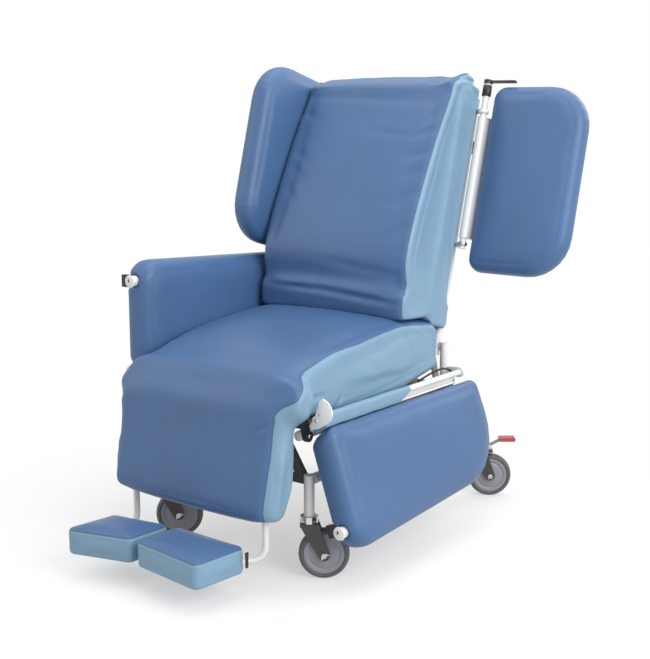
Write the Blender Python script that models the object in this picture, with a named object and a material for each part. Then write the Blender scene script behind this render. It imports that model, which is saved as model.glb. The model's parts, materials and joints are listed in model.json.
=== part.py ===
"""Pressure care chair on castors, with drop-down arms, swing-away wings and a hinged legrest."""
import bpy
import bmesh
from math import acos, atan2, cos, hypot, pi, radians, sin, tan
from mathutils import Matrix, Vector

for old in list(bpy.data.objects):
    bpy.data.objects.remove(old, do_unlink=True)

# Clearances
TOUCH = 0.0003
RUN = 0.0004
SOFT_GAP = 0.0015

# Seat width, which the frame, back, arms and legrest follow
SEAT_HALF_WIDTH = 0.256

# Castors and base frame
WHEEL_RADIUS = 0.0625
WHEEL_SIDES = 32
TYRE_WIDTH = 0.032
TYRE_EDGE = 0.006
HUB_RADIUS = 0.050
HUB_RECESS = 0.004
HUB_BOSS_RADIUS = 0.014
AXLE_RADIUS = 0.004
BOLT_HEAD_RADIUS = 0.007
BOLT_HEAD_HEIGHT = 0.004
CASTOR_TRAIL = 0.036
CASTOR_SWIVEL = radians(37.4)
STEM_INSET = 0.014
STEM_HALF_TRACK = SEAT_HALF_WIDTH - STEM_INSET
STEM_HALF_BASE = 0.400
FORK_SIDE_CLEARANCE = 0.002
FORK_LEG = 0.004
FORK_TOP_HALF = 0.023
FORK_EYE_RADIUS = 0.014
FORK_TIP_RADIUS = 0.0025
FORK_HEADROOM = 0.008
FORK_CROWN = 0.008
COLLAR_RADIUS = 0.022
COLLAR_HEIGHT = 0.016
STEM_RADIUS = 0.005
STEM_LENGTH = 0.030
POST_RADIUS = 0.013
RAIL_HEIGHT = 0.245
RAIL_BEND = 0.030
CROSS_BAR_HEIGHT = 0.021
CROSS_BAR_DEPTH = 0.012
REAR_BAR_PLACE = 0.330
BRACE_THICKNESS = 0.014
BRACE_DEPTH = 0.025
BRACE_TOP_INSET = 0.097

# Brake pedals
PEDAL_HINGE_REACH = 0.034
PEDAL_HINGE_LIFT = 0.010
PEDAL_HUB_RADIUS = 0.006
PEDAL_HUB_WIDTH = 0.018
PEDAL_PIN_RADIUS = 0.003
PEDAL_EAR = 0.004
PEDAL_ARM_WIDTH = 0.012
PEDAL_ARM_THICKNESS = 0.006
PEDAL_RISE = 0.016
PEDAL_PAD_START = 0.064
PEDAL_PAD_LENGTH = 0.044
PEDAL_PAD_WIDTH = 0.030
PEDAL_PAD_THICKNESS = 0.011

# Seat
SEAT_RAIL_INSET = 0.0105
SEAT_RAIL_TRACK = SEAT_HALF_WIDTH - SEAT_RAIL_INSET
SEAT_RAIL_RADIUS = 0.0125
SEAT_RAIL_LEVEL = 0.365
SEAT_RAIL_FRONT = -0.446
BOARD_THICKNESS = 0.012
BOARD_FRONT = -0.430
BOARD_REAR = 0.145
BOARD_INSET = 0.011
BOARD_HALF_WIDTH = SEAT_HALF_WIDTH - BOARD_INSET
SEAT_KNEE_PLACE = -0.388
SEAT_KNEE_TOP = 0.532
SEAT_THIGH_PLACE = -0.243
SEAT_THIGH_TOP = 0.554
SEAT_HIP_PLACE = -0.024
SEAT_HIP_TOP = 0.575
SEAT_REAR = 0.160
SEAT_REAR_TOP = 0.556
SEAT_REAR_BOTTOM = 0.422
SEAT_LIFT_PLACE = -0.010
SEAT_EDGE = 0.020
SEAT_CROWN = 0.008
SEAT_SPINE_INSET = 0.050
SIDE_DRAW_IN = 0.004

# Back
RECLINE_PLACE = 0.203
RECLINE_LIFT = 0.105
RECLINE_LEVEL = SEAT_RAIL_LEVEL + RECLINE_LIFT
BACK_LEAN = radians(15.5)
UPRIGHT_RADIUS = 0.011
UPRIGHT_TOP_MARGIN = 0.018
RECLINE_PIN_RADIUS = 0.006
BACK_POST_INSET = 0.041
BACK_POST_TRACK = SEAT_HALF_WIDTH - BACK_POST_INSET
BACK_POST_RADIUS = 0.0125
BACK_POST_LENGTH = 0.700
BACK_POST_FOOT = 0.020
BACK_PANEL_THICKNESS = 0.008
BACK_PANEL_BOTTOM = 0.100
BACK_PANEL_TOP = 0.690
BACK_PANEL_LAP = 0.001
BACK_PANEL_HALF_WIDTH = BACK_POST_TRACK + BACK_PANEL_LAP
BACK_INSET = 0.008
BACK_HALF_WIDTH = SEAT_HALF_WIDTH - BACK_INSET
BACK_FOOT_FRONT = 0.236
BACK_FOOT_BOTTOM = 0.060
BACK_HEEL_BOTTOM = 0.092
BACK_LUMBAR_FRONT = 0.250
BACK_LUMBAR_HEIGHT = 0.110
BACK_CREASE_FRONT = 0.240
BACK_CREASE_HEIGHT = 0.135
BACK_WAIST_FRONT = 0.262
BACK_WAIST_HEIGHT = 0.205
BACK_CHEST_FRONT = 0.252
BACK_CHEST_HEIGHT = 0.330
BACK_SHOULDER_FRONT = 0.212
BACK_SHOULDER_HEIGHT = 0.533
BACK_NECK_FRONT = 0.172
BACK_NECK_HEIGHT = 0.668
BACK_ROLL_FRONT = 0.166
BACK_ROLL_HEIGHT = 0.700
BACK_TOP = 0.742
BACK_TOP_DEPTH = 0.095
BACK_REAR_ROUND = 0.030
BACK_EDGE = 0.022
BACK_CROWN = 0.006
BACK_DRAW_IN = 0.012
HANDLE_RADIUS = 0.0125
HANDLE_LEVEL = 0.575
HANDLE_REACH = 0.075
HANDLE_BEND = 0.030

# Recline gas spring
LEVER_LENGTH = 0.125
LEVER_LEAD = radians(17.5)
LEVER_THICKNESS = 0.006
LEVER_HALF_WIDTH = 0.012
SPRING_PIN_RADIUS = 0.005
SPRING_PIN_PLAY = 0.0046
SPRING_EYE_WALL = 0.0055
SPRING_EYE_THICKNESS = 0.008
SPRING_BODY_RADIUS = 0.013
SPRING_BODY_FRONT = -0.070
SPRING_BODY_REAR = 0.115
SPRING_ROD_RADIUS = 0.005
SPRING_ROD_INSIDE = 0.025
SPRING_BORE_DEPTH = 0.110
SPRING_LUG_LENGTH = 0.030

# Wings
WING_AXIS_OUT = 0.018
WING_AXIS_TRACK = BACK_HALF_WIDTH + WING_AXIS_OUT
WING_AXIS_FORWARD = 0.032
WING_POST_RADIUS = 0.009
WING_POST_BOTTOM = 0.276
WING_POST_TOP = 0.735
WING_ARM_RADIUS = 0.007
WING_LOW_ARM = 0.288
WING_HIGH_ARM = 0.662
WING_INNER = 0.017
WING_WIDTH = 0.288
WING_BOTTOM = 0.216
WING_TOP = 0.733
WING_FRONT = 0.010
WING_THICKNESS = 0.072
WING_OUTER_CORNER = 0.115
WING_INNER_CORNER = 0.040
WING_EDGE = 0.032
WING_CROWN = 0.005
WING_SLEEVE_WALL = 0.003
WING_SLEEVE_BOTTOM = 0.306
WING_SLEEVE_TOP = 0.642
WING_FIN = 0.005
WING_OPEN = radians(90)
LEVER_CAP_RADIUS = 0.012
LEVER_CAP_HEIGHT = 0.010
LEVER_ARM_LENGTH = 0.085
LEVER_ARM_WIDTH = 0.014
LEVER_ARM_THICKNESS = 0.005

# Arms
ARM_SIDE_GAP = 0.010
ARM_INNER = SEAT_HALF_WIDTH + ARM_SIDE_GAP
ARM_AXIS_OUT = 0.0267
ARM_AXIS_TRACK = ARM_INNER + ARM_AXIS_OUT
ARM_AXIS_LIFT = 0.046
ARM_AXIS_LEVEL = SEAT_RAIL_LEVEL + ARM_AXIS_LIFT
ARM_DROP = radians(161)
ARM_THICKNESS = 0.086
ARM_FRONT = -0.432
ARM_REAR = 0.274
ARM_PAD_LIFT = 0.016
ARM_BOTTOM = ARM_AXIS_LEVEL + ARM_PAD_LIFT
ARM_UNDERSIDE_RISE = 0.026
ARM_FRONT_TOP = 0.738
ARM_REAR_TOP = 0.700
ARM_FRONT_CORNER = 0.060
ARM_LOW_CORNER = 0.038
ARM_REAR_CORNER = 0.165
ARM_HEEL_INSET = 0.018
ARM_EDGE = 0.034
ARM_CROWN = 0.004
ARM_ROD_RADIUS = 0.008
ARM_WEB = 0.008
ARM_FLANGE_WIDTH = 0.036
ARM_FLANGE_THICKNESS = 0.004
ARM_FLANGE_FRONT = -0.390
ARM_FLANGE_REAR = 0.175
ARM_PLATE_THICKNESS = 0.005
ARM_PLATE_GAP = 0.004
ARM_PLATE_EYE = 0.016
ARM_PLATE_TOP_LIFT = 0.034
ARM_PLATE_TOP_OUT = 0.010
ARM_PLATE_TOP_EYE = 0.011
ARM_LUG_EYE = 0.014
ARM_LUG_THICKNESS = 0.008
BUTTON_RADIUS = 0.014
BUTTON_PROUD = 0.008
BUTTON_DEPTH = 0.010
BUTTON_TRAVEL = 0.005
BUTTON_OUT = 0.046
BUTTON_DROP = 0.056
BUTTON_LEVEL = ARM_FRONT_TOP - BUTTON_DROP
SLOT_WIDTH = 0.005
SLOT_HEIGHT = 0.011
SLOT_DEPTH = 0.002
CATCH_DEPTH = 0.014
CATCH_HEIGHT = 0.032
CATCH_PROUD = 0.011
CATCH_SUNK = 0.020
CATCH_SETBACK = 0.010
CATCH_DROP = 0.076
CATCH_LEVEL = ARM_FRONT_TOP - CATCH_DROP

# Legrest and foot pads
LEG_AXIS_PLACE = -0.466
LEG_AXIS_LIFT = 0.105
LEG_AXIS_LEVEL = SEAT_RAIL_LEVEL + LEG_AXIS_LIFT
LEG_SLEEVE_RADIUS = 0.010
LEG_PIN_RADIUS = 0.006
LEG_PIN_LENGTH = 0.060
LEG_WEB = 0.006
LEG_WEB_OFFSET = 0.001
LEG_BOARD_INSET = 0.015
LEG_BOARD_HALF_WIDTH = SEAT_HALF_WIDTH - LEG_BOARD_INSET
LEG_BEND_LEVEL = 0.350
LEG_BOARD_BOTTOM = 0.226
LEG_BOARD_TOE = -0.494
LEG_NOTCH_SEAT = radians(108)
LEG_NOTCH_LEG = radians(35)
LEG_NOTCH_SEAT_RUN = 0.035
LEG_NOTCH_LEG_RUN = 0.022
LEG_SHIN_PLACE = -0.518
LEG_SHIN_LEVEL = 0.441
LEG_CALF_PLACE = -0.526
LEG_CALF_LEVEL = 0.374
LEG_ANKLE_PLACE = -0.556
LEG_ANKLE_LEVEL = 0.240
LEG_TOE_PLACE = -0.568
LEG_TOE_LEVEL = 0.196
LEG_BOTTOM = 0.178
LEG_BOTTOM_FRONT = -0.548
LEG_BOTTOM_REAR = -0.512
LEG_EDGE = 0.014
LEG_CROWN = 0.006
BRACKET_GAP = 0.0025
BRACKET_THICKNESS = 0.005
BRACKET_BOLT_AHEAD = 0.001
BRACKET_BOLT_PLACE = ARM_FRONT - BRACKET_BOLT_AHEAD
BRACKET_BUSH_RADIUS = 0.014
BRACKET_BUSH_LENGTH = 0.0065
BRACKET_HINGE_EYE = 0.012
HANGER_RADIUS = 0.008
HANGER_INSET = 0.041
HANGER_TRACK = SEAT_HALF_WIDTH - HANGER_INSET
HANGER_PLACE = -0.531
HANGER_TOP = 0.236
HANGER_LOW = 0.078
HANGER_BEND = 0.034
HANGER_TAIL = 0.110
PAD_THICKNESS = 0.068
PAD_BOTTOM = 0.059
PAD_CORNER = 0.020
PAD_EDGE = 0.010
PAD_CROWN = 0.005
PAD_HINGE_INSET_LEFT = 0.033
PAD_HINGE_INSET_RIGHT = 0.025
# Corners of the pads: the outer ones count x outwards from the hinge, the inner ones from the middle
PAD_LEFT_OUTER_REAR = (0.024, -0.586)
PAD_LEFT_OUTER_FRONT = (0.010, -0.747)
PAD_LEFT_INNER_REAR = (-0.026, -0.580)
PAD_LEFT_INNER_FRONT = (-0.032, -0.718)
PAD_RIGHT_OUTER_REAR = (0.022, -0.612)
PAD_RIGHT_OUTER_FRONT = (0.042, -0.767)
PAD_RIGHT_INNER_REAR = (0.040, -0.582)
PAD_RIGHT_INNER_FRONT = (0.048, -0.716)

LEFT = 1
RIGHT = -1
SIDE_NAME = {LEFT: "left", RIGHT: "right"}


def material(name, colour, roughness, metallic=0.0):
    mat = bpy.data.materials.new(name)
    mat.use_nodes = True
    shader = mat.node_tree.nodes["Principled BSDF"]
    shader.inputs["Base Color"].default_value = (*colour, 1.0)
    shader.inputs["Roughness"].default_value = roughness
    shader.inputs["Metallic"].default_value = metallic
    return mat


VINYL_DARK = material("dark_vinyl", (0.080, 0.155, 0.330), 0.45)
VINYL_LIGHT = material("light_vinyl", (0.290, 0.460, 0.630), 0.50)
WHITE = material("white_coat", (0.83, 0.83, 0.82), 0.35)
GREY = material("grey_steel", (0.120, 0.115, 0.105), 0.45, 0.6)
GUNMETAL = material("castor_fork", (0.130, 0.120, 0.115), 0.40, 0.5)
WHEEL = material("castor_wheel", (0.180, 0.185, 0.200), 0.55)
BLACK = material("black_plastic", (0.012, 0.012, 0.013), 0.45)
RED = material("brake_red", (0.45, 0.05, 0.06), 0.40)
BOARD = material("board", (0.20, 0.20, 0.21), 0.70)
STEEL = material("bright_steel", (0.62, 0.62, 0.63), 0.25, 1.0)


def pivot(name, place, parent=None, rotation=(0.0, 0.0, 0.0)):
    """Empty on a joint axis, which the moving pieces are parented to."""
    empty = bpy.data.objects.new(name, None)
    bpy.context.collection.objects.link(empty)
    empty.location = place
    empty.rotation_euler = rotation
    empty.parent = parent
    return empty


def solid(name, verts, faces, mat, parent=None, smooth=40):
    mesh = bpy.data.meshes.new(name)
    mesh.from_pydata([tuple(v) for v in verts], [], faces)
    bm = bmesh.new()
    bm.from_mesh(mesh)
    bmesh.ops.recalc_face_normals(bm, faces=bm.faces)
    bm.to_mesh(mesh)
    bm.free()
    mesh.shade_smooth()
    mesh.set_sharp_from_angle(angle=radians(smooth))
    mesh.materials.append(mat)
    obj = bpy.data.objects.new(name, mesh)
    bpy.context.collection.objects.link(obj)
    obj.parent = parent
    return obj


def helper(obj):
    """Marks a cutter or an operand that isn't a piece of the chair."""
    obj.hide_render = True
    obj.display_type = "WIRE"
    return obj


def boolean(obj, other, operation):
    helper(other)
    mod = obj.modifiers.new(operation.lower(), "BOOLEAN")
    mod.operation = operation
    mod.solver = "EXACT"
    mod.object = other
    return obj


def cut(obj, *others):
    for other in others:
        boolean(obj, other, "DIFFERENCE")
    return obj


def fuse(obj, *others):
    for other in others:
        boolean(obj, other, "UNION")
    return obj


def skin(rings, closed=False):
    """Vertices and faces of a tube through rings of equal count, with flat ends or closed on itself."""
    count = len(rings[0])
    verts = [v for ring in rings for v in ring]
    faces = []
    for k in range(len(rings) if closed else len(rings) - 1):
        low = k * count
        high = (k + 1) % len(rings) * count
        for i in range(count):
            j = (i + 1) % count
            faces.append((low + i, low + j, high + j, high + i))
    if not closed:
        faces.append(tuple(range(count))[::-1])
        faces.append(tuple(range(len(verts) - count, len(verts))))
    return verts, faces


def circle(centre, radius, sides=20, start=0.0, turn=2 * pi):
    """Points on a flat arc, a full circle unless a turn is given."""
    full = abs(turn) > 2 * pi - 1e-6
    steps = sides if full else sides - 1
    return [(centre[0] + radius * cos(start + turn * k / steps),
             centre[1] + radius * sin(start + turn * k / steps)) for k in range(sides)]


def prism(name, outline, axis, low, high, mat, parent=None, smooth=40):
    """Solid of a flat outline, extruded from low to high along axis 0, 1 or 2."""
    def lift(point, height):
        spot = list(point)
        spot.insert(axis, height)
        return tuple(spot)
    rings = [[lift(p, low) for p in outline], [lift(p, high) for p in outline]]
    return solid(name, *skin(rings), mat, parent, smooth)


def rod(name, axis, centre, radius, low, high, mat, parent=None, sides=20):
    return prism(name, circle(centre, radius, sides), axis, low, high, mat, parent)


def box(name, low, high, mat, parent=None):
    outline = [(low[0], low[1]), (high[0], low[1]), (high[0], high[1]), (low[0], high[1])]
    return prism(name, outline, 2, low[2], high[2], mat, parent)


def bent(points, radius, steps=6):
    """Path with its corners turned into arcs of the given radius."""
    path = [Vector(points[0])]
    for before, corner, after in zip(points, points[1:], points[2:]):
        corner = Vector(corner)
        one = (Vector(before) - corner).normalized()
        two = (Vector(after) - corner).normalized()
        half = acos(max(-1.0, min(1.0, one.dot(two)))) / 2
        run = radius / tan(half)
        centre = corner + (one + two).normalized() * radius / sin(half)
        start = corner + one * run - centre
        end = corner + two * run - centre
        swing = start.angle(end)
        turn = start.cross(end)
        for k in range(steps + 1):
            path.append(centre + Matrix.Rotation(swing * k / steps, 3, turn) @ start)
    path.append(Vector(points[-1]))
    return path


def tube(name, path, radius, mat, parent=None, sides=16):
    """Solid round bar along a path, with mitred rings that keep their twist."""
    path = [Vector(p) for p in path]
    ways = [(b - a).normalized() for a, b in zip(path, path[1:])]
    side = ways[0].orthogonal().normalized()
    rings = []
    for k, point in enumerate(path):
        before = ways[max(k - 1, 0)]
        after = ways[min(k, len(ways) - 1)]
        if k:
            side = before.rotation_difference(after) @ side
        mean = (before + after).normalized()
        flat = (side - mean * side.dot(mean)).normalized()
        rings.append([point + radius * (cos(a) * flat + sin(a) * mean.cross(flat))
                      for a in (2 * pi * i / sides for i in range(sides))])
    return solid(name, *skin(rings), mat, parent)


def hull(circles, steps=6):
    """Outline round a row of circles, taken in order, each given as (x, y, radius)."""
    points = []
    for x, y, radius in circles:
        points += circle((x, y), radius, 4 * steps)
    points = sorted(set((round(px, 6), round(py, 6)) for px, py in points))

    def half(row):
        chain = []
        for p in row:
            while len(chain) > 1:
                (ax, ay), (bx, by) = chain[-2:]
                if (bx - ax) * (p[1] - ay) - (by - ay) * (p[0] - ax) > 0:
                    break
                chain.pop()
            chain.append(p)
        return chain[:-1]
    return half(points) + half(points[::-1])


def rounded(corners, steps=5):
    """Outline with each corner (x, y, radius) rounded to its own radius."""
    outline = []
    for k, (x, y, radius) in enumerate(corners):
        px, py, _ = corners[k - 1]
        nx, ny, _ = corners[(k + 1) % len(corners)]
        if radius == 0:
            outline.append((x, y))
            continue
        arc = bent([(px, py, 0), (x, y, 0), (nx, ny, 0)], radius, steps)
        outline += [(p.x, p.y) for p in arc[1:-1]]
    return outline


def flow(points, steps=3):
    """Smooth curve through points in a plane, with steps pieces between each two."""
    ends = [points[0]] + list(points) + [points[-1]]
    curve = []
    for a, b, c, d in zip(ends, ends[1:], ends[2:], ends[3:]):
        for k in range(steps):
            t = k / steps
            curve.append(tuple(
                0.5 * (2 * q + (r - p) * t + (2 * p - 5 * q + 4 * r - s) * t * t
                       + (3 * q - p - 3 * r + s) * t ** 3) for p, q, r, s in zip(a, b, c, d)))
    curve.append(tuple(points[-1]))
    return curve


def outward(outline):
    """Unit normals of a closed outline, pointing out of it."""
    area = sum(a[0] * b[1] - b[0] * a[1] for a, b in zip(outline, outline[1:] + outline[:1]))
    way = 1 if area > 0 else -1
    normals = []
    for k, here in enumerate(outline):
        before = outline[k - 1]
        after = outline[(k + 1) % len(outline)]
        dx, dy = after[0] - before[0], after[1] - before[1]
        size = hypot(dx, dy)
        normals.append((way * dy / size, -way * dx / size))
    return normals


def nearest(point, spine):
    """Point of a spine line that is nearest to a point of an outline."""
    found = []
    for (ax, ay), (bx, by) in zip(spine, spine[1:]):
        dx, dy = bx - ax, by - ay
        share = ((point[0] - ax) * dx + (point[1] - ay) * dy) / (dx * dx + dy * dy)
        share = max(0.0, min(1.0, share))
        spot = (ax + dx * share, ay + dy * share)
        found.append((hypot(spot[0] - point[0], spot[1] - point[1]), spot))
    return min(found)[1]


def cushion(name, outline, axis, low, high, edge, crown, draw_in, mat, parent=None, soft=None,
            spine=None, spread=(0.25, 0.5, 0.75), edge_steps=3):
    """Padded solid: an outline across a width, with round edges, a crown and drawn-in ends.

    soft gives each outline point the share of the crown that it takes. Ends close in on the
    spine, a line inside the outline, or on its middle when there is none.
    """
    normals = outward(outline)
    soft = soft or [1.0] * len(outline)
    count = len(outline)
    middle = (sum(p[0] for p in outline) / count, sum(p[1] for p in outline) / count)
    cores = [nearest(p, spine) if spine else middle for p in outline]
    width = high - low
    stations = [(low + edge * (1 - cos(pi / 2 * k / edge_steps)),
                 edge * (1 - sin(pi / 2 * k / edge_steps)), 0.0) for k in range(edge_steps + 1)]
    for share in spread:
        across = low + edge + (width - 2 * edge) * share
        stations.append((across, 0.0, crown * (1 - (2 * share - 1) ** 2)))
    stations += [(low + high - s[0], s[1], s[2]) for s in stations[edge_steps::-1]]

    def lift(x, y, height):
        spot = [x, y]
        spot.insert(axis, height)
        return tuple(spot)

    def place(k, inset, rise):
        (x, y), (nx, ny), (cx, cy) = outline[k], normals[k], cores[k]
        if spine:
            far = hypot(cx - x, cy - y)
            nx, ny = nx * rise * soft[k], ny * rise * soft[k]
            step = min(inset, far / 2) / far
            return x + nx + (cx - x) * step, y + ny + (cy - y) * step
        return x + nx * (rise * soft[k] - inset), y + ny * (rise * soft[k] - inset)
    rings = [[lift(*place(k, inset, rise), height) for k in range(count)] for height, inset, rise in stations]
    for end, sign in ((0, 1), (-1, -1)):
        height, inset, _ = stations[end]
        cap = []
        for k in range(count):
            x, y = place(k, inset, 0.0)
            cap.append(lift((x + cores[k][0]) / 2, (y + cores[k][1]) / 2, height + sign * draw_in))
        rings.insert(0 if end == 0 else len(rings), cap)
    return solid(name, *skin(rings), mat, parent, 60)


# Places that several pieces share
ROOT = pivot("chair", (0.0, 0.0, 0.0))
TYRE_HALF = TYRE_WIDTH / 2
FORK_INNER = TYRE_HALF + FORK_SIDE_CLEARANCE
FORK_OUTER = FORK_INNER + FORK_LEG
CROWN_LOW = 2 * WHEEL_RADIUS + FORK_HEADROOM
CROWN_TOP = CROWN_LOW + FORK_CROWN
COLLAR_TOP = CROWN_TOP + COLLAR_HEIGHT
POST_BOTTOM = COLLAR_TOP + TOUCH
RAIL_TOP = RAIL_HEIGHT + POST_RADIUS
BOARD_BOTTOM = SEAT_RAIL_LEVEL + SEAT_RAIL_RADIUS + TOUCH
SEAT_BOTTOM = BOARD_BOTTOM + BOARD_THICKNESS + TOUCH
MELD = 0.0006


def castor_wheel(name, parent):
    """Wheel turned about its axle, with a flat facet of the tread on the floor."""
    boss_half = FORK_INNER - RUN
    hub_half = TYRE_HALF - HUB_RECESS
    bore = AXLE_RADIUS + RUN
    side = [(bore, boss_half), (HUB_BOSS_RADIUS, boss_half), (HUB_BOSS_RADIUS + HUB_RECESS / 2, hub_half),
            (HUB_RADIUS - HUB_RECESS, hub_half), (HUB_RADIUS, TYRE_HALF - HUB_RECESS / 4),
            (WHEEL_RADIUS - TYRE_EDGE, TYRE_HALF), (WHEEL_RADIUS, TYRE_HALF - TYRE_EDGE)]
    profile = side + [(r, -y) for r, y in side[::-1]]
    reach = 1 / cos(pi / WHEEL_SIDES)
    rings = []
    for radius, across in profile:
        rings.append([(radius * reach * cos(a), across, radius * reach * sin(a)) for a in
                      (-pi / 2 + 2 * pi * (k + 0.5) / WHEEL_SIDES for k in range(WHEEL_SIDES))])
    return solid(name, *skin(rings, closed=True), WHEEL, parent)


def castor_fork(name, parent, braked):
    axle = (CASTOR_TRAIL, WHEEL_RADIUS)
    tip = FORK_TIP_RADIUS
    leg = hull([(*axle, FORK_EYE_RADIUS), (-FORK_TOP_HALF + tip, CROWN_TOP - tip, tip),
                (FORK_TOP_HALF - tip, CROWN_TOP - tip, tip)])
    fork = prism(name, leg, 1, FORK_INNER, FORK_OUTER, GUNMETAL, parent)
    other = prism(name + "_leg", leg, 1, -FORK_OUTER, -FORK_INNER, GUNMETAL, parent)
    crown_end = PEDAL_HINGE_REACH + 2 * PEDAL_EAR if braked else FORK_TOP_HALF - MELD
    crown = box(name + "_crown", (-FORK_TOP_HALF + MELD, -FORK_OUTER + MELD, CROWN_LOW),
                (crown_end, FORK_OUTER - MELD, CROWN_TOP - MELD), GUNMETAL, parent)
    collar = rod(name + "_collar", 2, (0, 0), COLLAR_RADIUS, CROWN_LOW + MELD, COLLAR_TOP, GUNMETAL, parent)
    stem = rod(name + "_stem", 2, (0, 0), STEM_RADIUS, CROWN_TOP, COLLAR_TOP + STEM_LENGTH, GUNMETAL, parent,
               12)
    axle_rod = rod(name + "_axle", 1, axle, AXLE_RADIUS, -FORK_OUTER, FORK_OUTER, GUNMETAL, parent, 12)
    fuse(fork, other, crown, collar, stem, axle_rod)
    for sign in (1, -1):
        ends = sorted((sign * (FORK_OUTER - MELD), sign * (FORK_OUTER + BOLT_HEAD_HEIGHT)))
        fuse(fork, rod(f"{name}_head_{sign}", 1, axle, BOLT_HEAD_RADIUS, *ends, GUNMETAL, parent, 6))
    if braked:
        hinge_z = CROWN_TOP + PEDAL_HINGE_LIFT
        near = PEDAL_HUB_WIDTH / 2 + RUN
        for sign in (1, -1):
            ends = sorted((sign * near, sign * (near + PEDAL_EAR)))
            fuse(fork, box(f"{name}_ear_{sign}", (PEDAL_HINGE_REACH - PEDAL_EAR, ends[0], CROWN_LOW + MELD),
                           (PEDAL_HINGE_REACH + PEDAL_EAR, ends[1], hinge_z + PEDAL_EAR), GUNMETAL, parent))
        fuse(fork, rod(name + "_pin", 1, (PEDAL_HINGE_REACH, hinge_z), PEDAL_PIN_RADIUS,
                       -near - MELD, near + MELD, GUNMETAL, parent, 12))
    return fork


def brake_pedal(name, parent):
    """Pedal about its hinge at the origin: hub, rising arm and foot pad."""
    start = PEDAL_PAD_START - PEDAL_HINGE_REACH
    half = PEDAL_ARM_THICKNESS / 2
    pedal = rod(name, 1, (0, 0), PEDAL_HUB_RADIUS, -PEDAL_HUB_WIDTH / 2, PEDAL_HUB_WIDTH / 2, RED, parent)
    arm = prism(name + "_arm", hull([(0, 0, half), (start, PEDAL_RISE, half)]), 1,
                -PEDAL_ARM_WIDTH / 2, PEDAL_ARM_WIDTH / 2, RED, parent)
    pad = prism(name + "_pad", rounded([
        (start - half, PEDAL_RISE - half, half), (start + PEDAL_PAD_LENGTH, PEDAL_RISE - half, half),
        (start + PEDAL_PAD_LENGTH, PEDAL_RISE - half + PEDAL_PAD_THICKNESS, half),
        (start - half, PEDAL_RISE - half + PEDAL_PAD_THICKNESS, half)]), 1,
        -PEDAL_PAD_WIDTH / 2, PEDAL_PAD_WIDTH / 2, RED, parent)
    bore = rod(name + "_bore", 1, (0, 0), PEDAL_PIN_RADIUS + RUN, -PEDAL_HUB_WIDTH, PEDAL_HUB_WIDTH, RED,
               parent)
    fuse(pedal, arm, pad)
    return cut(pedal, bore)


def castors():
    for end, sign in (("front", -1), ("rear", 1)):
        for side in (LEFT, RIGHT):
            tag = f"{end}_{SIDE_NAME[side]}"
            swivel = pivot("castor_swivel_" + tag, (side * STEM_HALF_TRACK, sign * STEM_HALF_BASE, 0.0),
                           ROOT, (0.0, 0.0, CASTOR_SWIVEL))
            castor_fork("castor_fork_" + tag, swivel, end == "rear")
            hub = pivot("castor_axle_" + tag, (CASTOR_TRAIL, 0.0, WHEEL_RADIUS), swivel)
            castor_wheel("castor_wheel_" + tag, hub)
            if end == "rear":
                hinge_level = CROWN_TOP + PEDAL_HINGE_LIFT
                hinge = pivot("pedal_hinge_" + tag, (PEDAL_HINGE_REACH, 0.0, hinge_level), swivel)
                brake_pedal("brake_pedal_" + SIDE_NAME[side], hinge)


def base_frame():
    post_face = STEM_HALF_TRACK - POST_RADIUS - TOUCH
    for side in (LEFT, RIGHT):
        tag = SIDE_NAME[side]
        stem_x = side * STEM_HALF_TRACK
        post = rod("front_post_" + tag, 2, (stem_x, -STEM_HALF_BASE), POST_RADIUS, POST_BOTTOM,
                   RAIL_TOP + TOUCH, WHITE, ROOT)
        rail = tube("base_rail_" + tag, bent([
            (stem_x, -STEM_HALF_BASE + POST_RADIUS + TOUCH, RAIL_HEIGHT),
            (stem_x, STEM_HALF_BASE, RAIL_HEIGHT),
            (stem_x, STEM_HALF_BASE, POST_BOTTOM)], RAIL_BEND), POST_RADIUS, WHITE, ROOT)
        for piece, place in ((post, -STEM_HALF_BASE), (rail, STEM_HALF_BASE)):
            cut(piece, rod(piece.name + "_bore", 2, (stem_x, place), STEM_RADIUS + RUN,
                           COLLAR_TOP - STEM_LENGTH, COLLAR_TOP + STEM_LENGTH + RUN, WHITE, ROOT, 12))
        foot = post_face
        head = post_face - BRACE_TOP_INSET
        low = RAIL_HEIGHT + CROSS_BAR_HEIGHT / 2 + TOUCH
        high = BOARD_BOTTOM - TOUCH
        wide = BRACE_THICKNESS * hypot(foot - head, high - low) / (high - low)
        outline = [(side * x, z) for x, z in ((foot, low), (head + wide, high), (head, high),
                                              (foot - wide, low))]
        prism("front_brace_" + tag, outline, 1, -STEM_HALF_BASE - BRACE_DEPTH / 2,
              -STEM_HALF_BASE + BRACE_DEPTH / 2, GREY, ROOT)
    half = CROSS_BAR_DEPTH / 2
    for name, place in (("front_cross_bar", -STEM_HALF_BASE), ("rear_cross_bar", REAR_BAR_PLACE)):
        box(name, (-post_face, place - half, RAIL_HEIGHT - CROSS_BAR_HEIGHT / 2),
            (post_face, place + half, RAIL_HEIGHT + CROSS_BAR_HEIGHT / 2), GREY, ROOT)


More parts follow.
